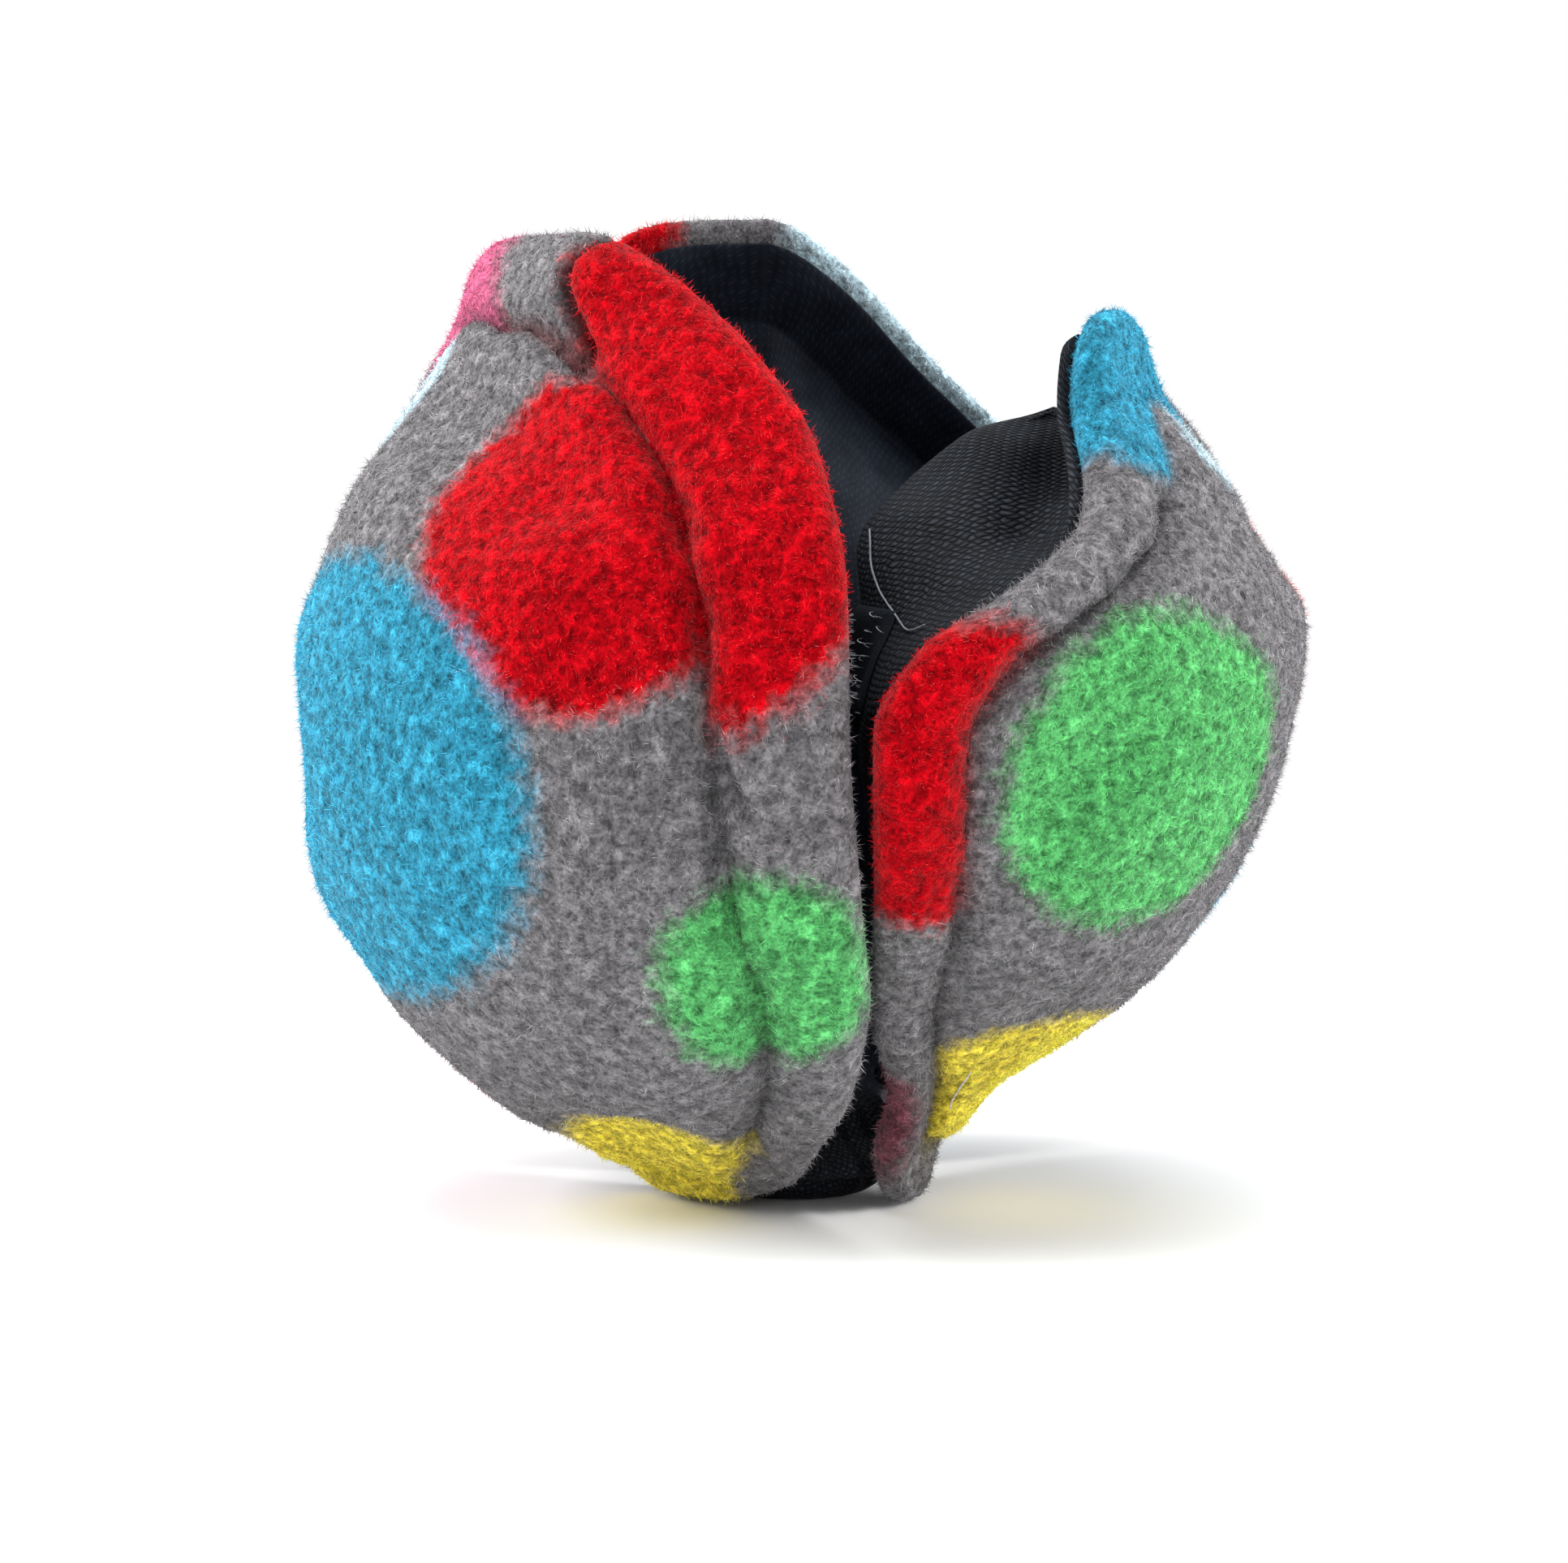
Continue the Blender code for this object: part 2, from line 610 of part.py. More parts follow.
def build_base(materials):
    inner = BASE_THICKNESS
    half_rise = BASE_RIM_HEIGHT / 2
    middle = (BASE_FLAT_RADIUS + 2 * BASE_RADIUS) / 3
    patch = [
        (0.0, 0.0),
        (BASE_FLAT_RADIUS, 0.0),
        (middle, half_rise - inner),
        (BASE_RADIUS, BASE_RIM_HEIGHT),
        (BASE_RADIUS - inner, BASE_RIM_HEIGHT),
        (middle - inner, half_rise),
        (BASE_FLAT_RADIUS - inner / 2, inner),
        (0.0, inner),
    ]
    patch_mesh = mesh_from("base_patch", lambda shape: fill_turned(shape, patch))
    new_object("base_patch", patch_mesh, materials["black_weave"])
    lift = inner + FIT_GAP
    core = [
        (0.0, lift),
        (BASE_FLAT_RADIUS - inner, lift),
        (middle - inner - FIT_GAP, half_rise + FIT_GAP),
        (BASE_RADIUS - inner - FIT_GAP, BASE_RIM_HEIGHT + FIT_GAP),
        (BASE_RADIUS, BASE_RIM_HEIGHT + 2 * FIT_GAP),
        (BASE_RADIUS, CORE_TOP_HEIGHT - CORE_CROWN),
        (BASE_RADIUS - CORE_CROWN, CORE_TOP_HEIGHT),
        (0.0, CORE_TOP_HEIGHT),
    ]
    core_mesh = mesh_from("base_core", lambda shape: fill_turned(shape, core))
    new_object("base_core", core_mesh, materials["black_weave"])
    ring = []
    for step in range(THREAD_SEGMENTS):
        angle = 2 * math.pi * (step + 0.5) / THREAD_SEGMENTS
        radius = STITCH_RING_RADIUS + THREAD_RADIUS * math.cos(angle)
        height = CORE_TOP_HEIGHT + FIT_GAP + THREAD_RADIUS + THREAD_RADIUS * math.sin(angle)
        ring.append((radius, height))
    mesh = mesh_from("base_stitching", lambda shape: fill_turned(shape, ring))
    new_object("base_stitching", mesh, materials["black_thread"])


def main():
    for item in list(bpy.data.objects):
        bpy.data.objects.remove(item, do_unlink=True)
    materials = {name: new_material(name) for name in MATERIALS}
    build_base(materials)
    for name, petal in PETALS.items():
        build_petal(name, petal, materials)


main()
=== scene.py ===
import math

import bpy
import numpy as np
from mathutils import Matrix, Vector, noise


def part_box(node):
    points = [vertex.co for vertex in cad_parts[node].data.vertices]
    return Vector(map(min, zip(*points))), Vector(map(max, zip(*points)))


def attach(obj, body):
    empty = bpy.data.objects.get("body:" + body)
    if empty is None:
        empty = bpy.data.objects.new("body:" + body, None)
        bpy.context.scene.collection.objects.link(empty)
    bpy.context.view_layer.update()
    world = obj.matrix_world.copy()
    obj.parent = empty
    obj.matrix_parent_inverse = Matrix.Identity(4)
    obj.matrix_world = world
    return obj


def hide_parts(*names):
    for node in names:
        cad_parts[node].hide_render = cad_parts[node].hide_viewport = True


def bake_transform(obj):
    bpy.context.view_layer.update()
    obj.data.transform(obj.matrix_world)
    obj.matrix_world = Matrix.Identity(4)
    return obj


# Fleece treat ball: three stuffed petals round a woven base. Lengths are in metres, -Y is the front.
# A petal's own frame has X out of the ball, Y to its right as seen from outside, and Z up.

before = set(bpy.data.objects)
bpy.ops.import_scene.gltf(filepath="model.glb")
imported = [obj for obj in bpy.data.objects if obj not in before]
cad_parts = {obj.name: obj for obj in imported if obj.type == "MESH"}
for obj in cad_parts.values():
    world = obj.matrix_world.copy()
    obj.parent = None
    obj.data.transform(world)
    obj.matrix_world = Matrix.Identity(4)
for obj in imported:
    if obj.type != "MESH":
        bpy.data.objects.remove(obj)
bpy.ops.object.select_all(action="DESELECT")
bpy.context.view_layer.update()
print("frame loaded", len(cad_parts), "nodes")


# Camera, lights and floor
view = {
    "target": (-0.00106, 0.0, 0.04877),
    "distance": 0.450,
    "elevation": 4.0,
    "lens": 87.2,
}


def newObject(name, data):
    made = bpy.data.objects.new(name, data)
    bpy.context.scene.collection.objects.link(made)
    return made


def makeCamera():
    lens = bpy.data.cameras.new("camera")
    camera = newObject("camera", lens)
    lens.sensor_width = 36.0
    lens.lens = view["lens"]
    lens.clip_start = 0.01
    rise = math.radians(view["elevation"])
    away = Vector((0.0, -math.cos(rise), math.sin(rise)))
    camera.location = Vector(view["target"]) + away * view["distance"]
    camera.rotation_euler = (-away).to_track_quat("-Z", "Y").to_euler()
    bpy.context.scene.camera = camera


def addNode(nodes, kind, settings=(), values=()):
    # A node with its settings, whose inputs are linked to a socket or set to a value
    node = nodes.new("ShaderNode" + kind)
    for key, value in dict(settings).items():
        setattr(node, key, value)
    for key, value in dict(values).items():
        if isinstance(value, bpy.types.NodeSocket):
            node.id_data.links.new(value, node.inputs[key])
        else:
            node.inputs[key].default_value = value
    return node.outputs


def mathNode(nodes, operation, *values):
    return addNode(nodes, "Math", {"operation": operation}, enumerate(values))[0]


def newShade(name, roughness, gloss, sheen=0.0):
    shade = bpy.data.materials.new(name)
    shade.use_nodes = True
    nodes = shade.node_tree.nodes
    skin = nodes["Principled BSDF"]
    skin.inputs["Roughness"].default_value = roughness
    skin.inputs["Specular IOR Level"].default_value = gloss
    if sheen:
        skin.inputs["Sheen Weight"].default_value = sheen
        skin.inputs["Sheen Roughness"].default_value = 0.30
    return shade, nodes, skin


def feed(node, name, value):
    node.id_data.links.new(value, node.inputs[name])


lamps = (  # name, place, size, watts
    ("keyLamp", (-1.05, 0.05, 0.75), 0.80, 21.5),
    ("fillLamp", (1.05, 0.10, 0.45), 0.90, 14.5),
    ("topLamp", (0.00, 0.05, 1.10), 0.90, 12.0),
    ("lowLamp", (-0.05, -0.95, 0.05), 0.70, 2.2),
)
studio = {
    "lampTarget": (0.0, 0.0, 0.05),
    "worldStrength": 0.38,
    "floorColour": 0.93,
    "floorSize": 8.0,
    "whiteStart": 0.13,
    "whiteEnd": 0.34,
}


def seenDirectly(nodes):
    # 1 for rays from the camera, off a gloss or through glass, 0 for the light that falls on things
    path = addNode(nodes, "LightPath")
    most = mathNode(nodes, "MAXIMUM", path["Is Camera Ray"], path["Is Glossy Ray"])
    return mathNode(nodes, "MAXIMUM", most, path["Is Transmission Ray"])


def makeFloorShade():
    # Pale paper that takes the shadow, and turns into the white of the background further out
    shade, nodes, skin = newShade("floorPaper", 0.9, 0.1)
    skin.inputs["Base Color"].default_value = (studio["floorColour"],) * 3 + (1,)
    place = addNode(nodes, "TexCoord")["Object"]
    reach = addNode(nodes, "VectorMath", {"operation": "LENGTH"}, {0: place})["Value"]
    ends = {"From Min": studio["whiteStart"], "From Max": studio["whiteEnd"], "Value": reach}
    fade = addNode(nodes, "MapRange", {"interpolation_type": "SMOOTHSTEP"}, ends)[0]
    share = mathNode(nodes, "MULTIPLY", fade, seenDirectly(nodes))
    white = addNode(nodes, "Emission")[0]
    mix = addNode(nodes, "MixShader", (), {0: share, 1: skin.outputs[0], 2: white})[0]
    feed(nodes["Material Output"], "Surface", mix)
    return shade


def makeStudio():
    target = Vector(studio["lampTarget"])
    for name, place, size, watts in lamps:
        lamp = bpy.data.lights.new(name, "AREA")
        lamp.size = size
        lamp.energy = watts
        holder = newObject(name, lamp)
        holder.location = place
        holder.rotation_euler = (target - Vector(place)).to_track_quat("-Z", "Y").to_euler()
    world = bpy.data.worlds.new("studio")
    bpy.context.scene.world = world
    world.use_nodes = True
    nodes = world.node_tree.nodes
    nodes.clear()
    plain = (1, 1, 1, 1)
    light = addNode(nodes, "Background", (), {"Color": plain, "Strength": studio["worldStrength"]})[0]
    white = addNode(nodes, "Background", (), {"Color": plain})[0]
    mix = addNode(nodes, "MixShader", (), {0: seenDirectly(nodes), 1: light, 2: white})[0]
    addNode(nodes, "OutputWorld", (), {"Surface": mix})
    bpy.ops.mesh.primitive_plane_add(size=studio["floorSize"], location=(0, 0, 0))
    floor = bpy.context.object
    floor.name = "floor"
    floor.data.materials.append(makeFloorShade())
    floor.select_set(False)
    bpy.context.scene.view_settings.view_transform = "Standard"


makeCamera()
makeStudio()
print("camera and studio made")


# Measures of the ball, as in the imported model
ball = {
    "radius": 0.060,
    "seamRadius": 0.055,
    "rootHeight": 0.0044,
    "rootRadius": 0.0122,
    "sector": 60.0,
    "flangeWidth": 0.016,
    "halfThickness": 0.00275,
    "fleece": 0.0025,
    "shoulder": 0.0005,
    "crownPower": 2.5,
    "lining": 0.0009,
    "liningGap": 0.0004,
    "domePower": 3.0,
    "domeEndPower": 1.3,
    "flangeLimit": 0.62,
}
ball["centre"] = ball["rootHeight"] + math.sqrt(ball["seamRadius"] ** 2 - ball["rootRadius"] ** 2)

# Of every petal: the way it faces and how far up it goes, in degrees, how thick its rim is beside the
# usual, the latitudes over which its groove fades out (towards the tip, towards the root), and tables
# by latitude of its two edges (shares of the sector), its rim's width, its outward bulge, and the
# distance of its lining's hem from the edge in millimetres. Ridge: share of the way up, distance out
# and height of the lining's ridge, in ball radii.
petals = {
    "left": {
        "azimuth": -52.0, "tip": 60.0, "rootAngle": 13.0, "tipAngle": 21.0,
        "rimShare": 1.0, "plain": ((90, 95), (-64, -72)),
        "right": ((-70, 0.96), (-50, 1.05), (-36, 1.045), (-20, 1.00), (0, 0.97), (15, 0.97), (33, 0.92),
                  (45, 0.76), (50, 0.63), (55, 0.45), (58.5, 0.26), (59.7, 0.12), (60, 0.0)),
        "left": ((-70, 0.80), (-50, 0.95), (-30, 0.98), (0, 0.98), (15, 0.97), (33, 0.93),
                 (45, 0.90), (52, 0.87), (56, 0.80), (59, 0.56), (59.8, 0.28), (60, 0.0)),
        "flange": ((-73, 0.50), (-40, 0.66), (-20, 0.78), (10, 0.91), (35, 1.00), (60, 0.81)),
        "profile": ((-78, 0.985), (-68, 0.95), (-60, 0.95), (-50, 0.965), (-40, 0.98), (-20, 0.99),
                    (10, 0.975), (30, 0.975), (45, 1.02), (55, 1.08), (60, 1.105)),
        "hemRight": ((-73, 3.6), (60, 2.6)),
        "hemLeft": ((-73, 3.6), (60, 2.6)),
        "ridge": ((0, 0.34, 0.33), (0.15, 0.285, 0.46), (0.35, 0.24, 0.68), (0.55, 0.225, 0.93),
                  (0.75, 0.24, 1.18), (0.9, 0.33, 1.38), (1.0, 0.47, 1.51)),
    },
    "right": {
        "azimuth": 68.0, "tip": 49.7, "rootAngle": 13.0, "tipAngle": 15.0,
        "rimShare": 0.9, "plain": ((27, 38), (-90, -95)),
        "left": ((-70, 0.72), (-55, 0.86), (-38, 0.92), (-20, 0.965), (0, 0.99), (8.6, 0.905),
                 (13.4, 0.765), (19, 0.605), (23.3, 0.50), (38, 0.335), (45, 0.26), (48.5, 0.165),
                 (49.5, 0.08), (49.7, 0.0)),
        "right": ((-70, 0.80), (-50, 0.95), (-30, 0.98), (-3, 0.98), (8, 0.94), (20, 0.78), (31, 0.54),
                  (40, 0.36), (45.5, 0.23), (49, 0.10), (49.7, 0.0)),
        "flange": ((-73, 0.41), (-40, 0.45), (-20, 0.56), (10, 0.60), (24, 0.56), (36, 0.70),
                   (49, 0.75)),
        "profile": ((-78, 0.95), (-69, 0.88), (-60, 0.85), (-46, 0.86), (-30, 0.90), (-18, 0.94),
                    (-4, 0.99), (10, 1.03), (25, 0.99), (38, 0.97), (49.7, 1.07)),
        "hemRight": ((-73, 3.6), (20, 3.0), (49.7, 1.2)),
        "hemLeft": ((-73, 3.6), (5, 3.0), (18, 0.6), (27, -1.2), (45, -1.6), (49.7, 0.6)),
        "ridge": ((0, 0.34, 0.33), (0.15, 0.285, 0.47), (0.35, 0.235, 0.71), (0.55, 0.22, 0.98),
                  (0.72, 0.225, 1.22), (0.84, 0.27, 1.38), (0.93, 0.38, 1.48), (1.0, 0.54, 1.54)),
    },
    "back": {
        "azimuth": 188.0, "tip": 70.0, "rootAngle": 13.0, "tipAngle": 19.0,
        "rimShare": 0.50, "plain": ((90, 95), (-90, -95)),
        "left": ((-70, 0.80), (-50, 0.95), (-30, 0.98), (0, 0.98), (20, 0.93), (38, 0.75), (52, 0.57),
                 (61, 0.43), (66, 0.28), (69, 0.12), (70, 0.0)),
        "right": ((-70, 0.80), (-50, 0.95), (-30, 0.98), (0, 0.98), (20, 0.95), (38, 0.87), (52, 0.80),
                  (61, 0.80), (66, 0.78), (68.5, 0.60), (69.7, 0.30), (70, 0.0)),
        "flange": ((-73, 0.50), (0, 0.69), (70, 0.69)),
        "profile": ((-78, 0.99), (-68, 0.97), (-58, 0.96), (-40, 0.98), (0, 0.98), (45, 1.0), (60, 1.055),
                    (70, 1.125)),
        "hemRight": ((-73, 3.0), (30, 1.2), (70, 1.0)),
        "hemLeft": ((-73, 3.0), (30, 1.2), (70, 1.0)),
        "ridge": ((0, 0.34, 0.33), (0.15, 0.30, 0.46), (0.35, 0.265, 0.70), (0.55, 0.26, 0.96),
                  (0.75, 0.27, 1.24), (0.9, 0.34, 1.46), (1.0, 0.45, 1.60)),
    },
}


def readTable(table, places):
    # Smooth curve through a table's points, without overshoot
    xs = np.array([entry[0] for entry in table], float)
    ys = np.array([entry[1] for entry in table], float)
    slopes = np.diff(ys) / np.diff(xs)
    before, after = slopes[:-1], slopes[1:]
    rising = before * after > 0
    inner = np.where(rising, 2 * before * after / np.where(rising, before + after, 1), 0)
    tangents = np.concatenate([slopes[:1], inner, slopes[-1:]])
    places = np.clip(places, xs[0], xs[-1])
    index = np.clip(np.searchsorted(xs, places, side="right") - 1, 0, len(xs) - 2)
    span = np.diff(xs)[index]
    share = (places - xs[index]) / span
    rise = share * share * (3 - 2 * share)
    startPull = share * (1 - share) ** 2 * span * tangents[index]
    endPull = share * share * (share - 1) * span * tangents[index + 1]
    return ys[index] + (ys[index + 1] - ys[index]) * rise + startPull + endPull


def spherePoint(petal, latitude, azimuth, height):
    radius = (ball["seamRadius"] + height) * readTable(petal["profile"], latitude)
    flat = radius * np.cos(np.radians(latitude))
    turn = np.radians(azimuth)
    lift = ball["centre"] + radius * np.sin(np.radians(latitude))
    return np.stack(np.broadcast_arrays(flat * np.cos(turn), flat * np.sin(turn), lift), -1)


def toBall(petal, points):
    # From the petal's own frame to the ball's
    turn = math.radians(petal["azimuth"] - 90)
    c, s = math.cos(turn), math.sin(turn)
    x, y, z = points[..., 0], points[..., 1], points[..., 2]
    return np.stack([x * c - y * s, x * s + y * c, z], -1)


def outlineRows(petal, side, count):
    # Latitude and azimuth of evenly spaced points along one edge, from the root to the tip
    sign = 1 if side == "right" else -1
    radius = ball["seamRadius"] * petal["profile"][0][1]
    root = -math.degrees(math.acos(ball["rootRadius"] / radius))
    cornerLatitude, cornerShare = petal[side][0]
    angle = np.linspace(0, math.pi / 2, 600)
    low = root + (cornerLatitude - root) * (1 - np.cos(angle))
    lowAzimuth = sign * ball["sector"] * cornerShare * np.sin(angle)
    high = cornerLatitude + (petal["tip"] - cornerLatitude) * np.sin(angle)
    highAzimuth = sign * ball["sector"] * readTable(petal[side], high)
    latitude = np.concatenate([low[:-1], high])
    azimuth = np.concatenate([lowAzimuth[:-1], highAzimuth])
    places = spherePoint(petal, latitude, azimuth, 0.0)
    lengths = np.concatenate([[0], np.cumsum(np.linalg.norm(np.diff(places, axis=0), axis=1))])
    wanted = np.linspace(0, lengths[-1], count + 1)
    return np.interp(wanted, lengths, latitude), np.interp(wanted, lengths, azimuth), root


def petalRows(petal, count):
    # What every row of a petal needs, as arrays round its loop: up the right edge, down the left
    right = outlineRows(petal, "right", count)
    left = outlineRows(petal, "left", count)
    root, tip = right[2], petal["tip"]
    index = np.arange(count + 1)
    share = ((right[0] + left[0]) / 2 - root) / (tip - root) / 2 + index / count / 2
    spine = root + petal["rootAngle"] + (tip - petal["tipAngle"] - root - petal["rootAngle"]) * share
    outwards = readTable([(s, d) for s, d, h in petal["ridge"]], share)
    upwards = readTable([(s, h) for s, d, h in petal["ridge"]], share)
    ridge = np.stack([outwards, share * 0, upwards], -1) * ball["radius"]
    power = ball["domeEndPower"] + (ball["domePower"] - ball["domeEndPower"]) * np.sin(math.pi * share)
    up, down = index[:-1], index[:0:-1]
    loop = np.concatenate([up, down])
    rows = {
        "loop": loop,
        "count": count,
        "latitude": np.concatenate([right[0][up], left[0][down]]),
        "azimuth": np.concatenate([right[1][up], left[1][down]]),
        "spine": spine[loop],
        "ridge": ridge[loop],
        "power": power[loop],
        "share": share[loop],
    }
    edge = spherePoint(petal, rows["latitude"], rows["azimuth"], 0.0)
    middle = spherePoint(petal, rows["spine"], 0.0, 0.0)
    rows["length"] = np.linalg.norm(edge - middle, axis=1)
    width = ball["flangeWidth"] * readTable(petal["flange"], rows["latitude"])
    rows["width"] = np.minimum(width, rows["length"] * ball["flangeLimit"])
    fades = [np.clip((rows["latitude"] - start) / (end - start), 0, 1) for start, end in petal["plain"]]
    rows["plain"] = np.maximum(*fades)  # 1 where the rim has no groove
    hems = [readTable(petal[side], rows["latitude"]) for side in ("hemRight", "hemLeft")]
    rows["hem"] = np.where(np.arange(len(loop)) < count, hems[0], hems[1]) / 1000
    return rows


def across(petal, rows, distance, height):
    # Points at distances from the edge, one column of them for each row of the loop
    share = np.minimum(distance / rows["length"][:, None], 1.0)  # below 0 it is past the edge
    latitude = rows["latitude"][:, None] + (rows["spine"] - rows["latitude"])[:, None] * share
    azimuth = rows["azimuth"][:, None] * (1 - share)
    return spherePoint(petal, latitude, azimuth, height), latitude, azimuth


def gridNormals(grid):
    # Normals of a grid that closes round its first direction
    along = np.roll(grid, -1, axis=0) - np.roll(grid, 1, axis=0)
    cross = np.gradient(grid, axis=1)
    normal = np.cross(along, cross)
    return normal / np.maximum(np.linalg.norm(normal, axis=-1, keepdims=True), 1e-12)


def pushed(points, pushes):
    # Soft pushes that fade with the distance from their centres
    for centre, reach, push in pushes:
        weight = np.exp(-(((points - np.array(centre)) / reach) ** 2).sum(-1))
        points = points + weight[..., None] * np.array(push)
    return points


def rounded(share):
    # Height of a quarter circle, from 0 at share 0 to 1 at share 1
    return np.sqrt(1 - (1 - np.clip(share, 0, 1)) ** 2)


settled = {
    "top": 0.0165,
    "reach": 0.0160,
    "drop": 0.0031,
    "spread": 0.0008,
    "narrowest": 0.008,
    "floor": 0.0005,
}


def settle(points):
    # The ball's weight presses the soft roots of the petals down round the base
    share = np.clip((settled["top"] - points[..., 2]) / settled["reach"], 0, 1)
    share = share * share * (3 - 2 * share)
    radius = np.maximum(np.hypot(points[..., 0], points[..., 1]), settled["narrowest"])
    wider = 1 + settled["spread"] * share / radius
    lower = points[..., 2] - settled["drop"] * share
    return aboveFloor(np.stack([points[..., 0] * wider, points[..., 1] * wider, lower], -1))


def aboveFloor(points, floor=settled["floor"]):
    points = points.copy()
    points[..., 2] = np.maximum(points[..., 2], floor)
    return points


def noiseAt(points, scale, seed):
    # Smooth noise from -1 to 1 at every point, for lumps of about that scale
    flat = points.reshape(-1, 3) / scale + seed * 7.31
    values = np.fromiter((noise.noise(p) for p in flat.tolist()), float, len(flat))
    return values.reshape(points.shape[:-1])


def buildMesh(name, points, faces):
    mesh = bpy.data.meshes.new(name)
    mesh.from_pydata(points.tolist(), [], faces.tolist() if isinstance(faces, np.ndarray) else faces)
    mesh.validate()
    mesh.shade_smooth()
    return newObject(name, mesh)


def activate(piece):
    bpy.ops.object.select_all(action="DESELECT")
    bpy.context.view_layer.objects.active = piece
    piece.select_set(True)


def turnOutwards(piece):
    activate(piece)
    bpy.ops.object.mode_set(mode="EDIT")
    bpy.ops.mesh.select_all(action="SELECT")
    bpy.ops.mesh.normals_make_consistent(inside=False)
    bpy.ops.object.mode_set(mode="OBJECT")
    piece.select_set(False)


def paint(piece, colours):
    # The colours, one for each point: the dyes, and on the fleece the painted light and shade put into
    # them
    full = np.ones((len(piece.data.vertices), 4), np.float32)
    full[:, :3] = colours
    colouring = piece.data.color_attributes.new("colouring", "FLOAT_COLOR", "POINT")
    colouring.data.foreach_set("color", full.ravel())


def mapCloth(piece, flat):
    # Flat places of the points on the cloth, for its weave
    corners = np.zeros(len(piece.data.loops), int)
    piece.data.loops.foreach_get("vertex_index", corners)
    cloth = piece.data.uv_layers.new(name="cloth")
    cloth.data.foreach_set("uv", flat[corners].astype(np.float32).ravel())


def closedSheets(rows, first, second):
    # One closed body of two grids that share their edge: its points, its faces, and where each
    # grid's points went. Both grids end on the spine, where the two sides of a row meet.
    loop, count = rows["loop"], rows["count"]
    size = len(loop)
    points, places, total = [], [], 0
    for number, grid in enumerate((first, second)):
        columns = grid.shape[1]
        place = np.zeros((size, columns), int)
        start = 0
        if number:
            place[:, 0] = places[0][:, 0]
            start = 1
        inner = columns - 1 - start
        place[:, start:-1] = total + np.arange(size * inner).reshape(size, inner)
        points.append(grid[:, start:-1].reshape(-1, 3))
        total += size * inner
        spine = np.zeros((count + 1, 3))
        spine[loop] = grid[:, -1]
        points.append(spine)
        place[:, -1] = total + loop
        total += count + 1
        places.append(place)
    faces = []
    for number, place in enumerate(places):
        low, high = place, np.roll(place, -1, axis=0)
        quads = np.stack([low[:, :-1], low[:, 1:], high[:, 1:], high[:, :-1]], -1).reshape(-1, 4)
        faces.append(quads if number else quads[:, ::-1])
    faces = np.concatenate(faces)
    return np.concatenate(points), faces, places


# Stuffing: a cloth simulation swells a coarse closed copy of each petal, held where it is sewn, and
# the fine cover, lining and tapes of that petal are moved the same way
stuffing = {
    "rows": 44,
    "coverColumns": 14,
    "domeColumns": 10,
    "domePower": 1.8,
    "voxel": 0.0040,
    "pressure": 4.0,
    "spareCloth": 0.06,
    "frames": 20,
    "sewnReach": 0.0040,
    "batch": 5000,
    "mostMove": 0.0026,
    "blur": 0.0028,
    "fade": 0.3,
    "liningShare": 0.5,
}
stuffed = {}  # for each petal, the places of its coarse copy and how far each of them moved


def coarsePetal(name, petal):
    rows = petalRows(petal, stuffing["rows"])
    width, length = rows["width"][:, None], rows["length"][:, None]
    share = np.linspace(0, 1, stuffing["coverColumns"] + 1)[None, :]
    crown = (ball["radius"] - ball["seamRadius"]) * (1 - (1 - share) ** ball["crownPower"])
    outside = toBall(petal, across(petal, rows, width + (length - width) * share, crown)[0])
    seam, ridge = outside[:, :1], toBall(petal, rows["ridge"])[:, None]
    share = np.linspace(0, 1, stuffing["domeColumns"])[None, :, None]
    dome = ridge + (seam - ridge) * (1 - share) ** stuffing["domePower"]
    points, faces = closedSheets(rows, outside, dome)[:2]
    return buildMesh(name + "Coarse", points, faces), seam[:, 0]


def pointsOf(mesh):
    places = np.empty(len(mesh.vertices) * 3)
    mesh.vertices.foreach_get("co", places)
    return places.reshape(-1, 3)


def stuffPetal(name, petal):
    piece, seam = coarsePetal(name, petal)
    bpy.context.view_layer.objects.active = piece
    voxels = piece.modifiers.new("voxels", "REMESH")
    voxels.mode = "VOXEL"
    voxels.voxel_size = stuffing["voxel"]
    bpy.ops.object.modifier_apply(modifier="voxels")
    before = pointsOf(piece.data)
    sewn = piece.vertex_groups.new(name="sewn")
    for index, place in enumerate(before):
        away = np.linalg.norm(seam - place, axis=1).min() / stuffing["sewnReach"]
        sewn.add([index], float(np.clip(2 - away, 0, 1)), "REPLACE")
    cloth = piece.modifiers.new("stuffing", "CLOTH")
    cloth.settings.use_pressure = True
    cloth.settings.uniform_pressure_force = stuffing["pressure"]
    cloth.settings.vertex_group_mass = "sewn"
    cloth.settings.shrink_min = -stuffing["spareCloth"]
    cloth.settings.effector_weights.gravity = 0.0
    cloth.point_cache.frame_start = 1
    cloth.point_cache.frame_end = stuffing["frames"]
    for step in range(1, stuffing["frames"] + 1):
        bpy.context.scene.frame_set(step)
    bpy.ops.object.modifier_apply(modifier="stuffing")
    moves = pointsOf(piece.data) - before
    size = np.linalg.norm(moves, axis=1, keepdims=True)
    moves *= np.minimum(1, stuffing["mostMove"] / np.maximum(size, 1e-9))
    bpy.context.scene.frame_set(1)
    bpy.data.objects.remove(piece, do_unlink=True)
    print(name, "petal stuffed, most move before the cap", round(float(size.max()) * 1000, 2), "mm")
    return before, moves


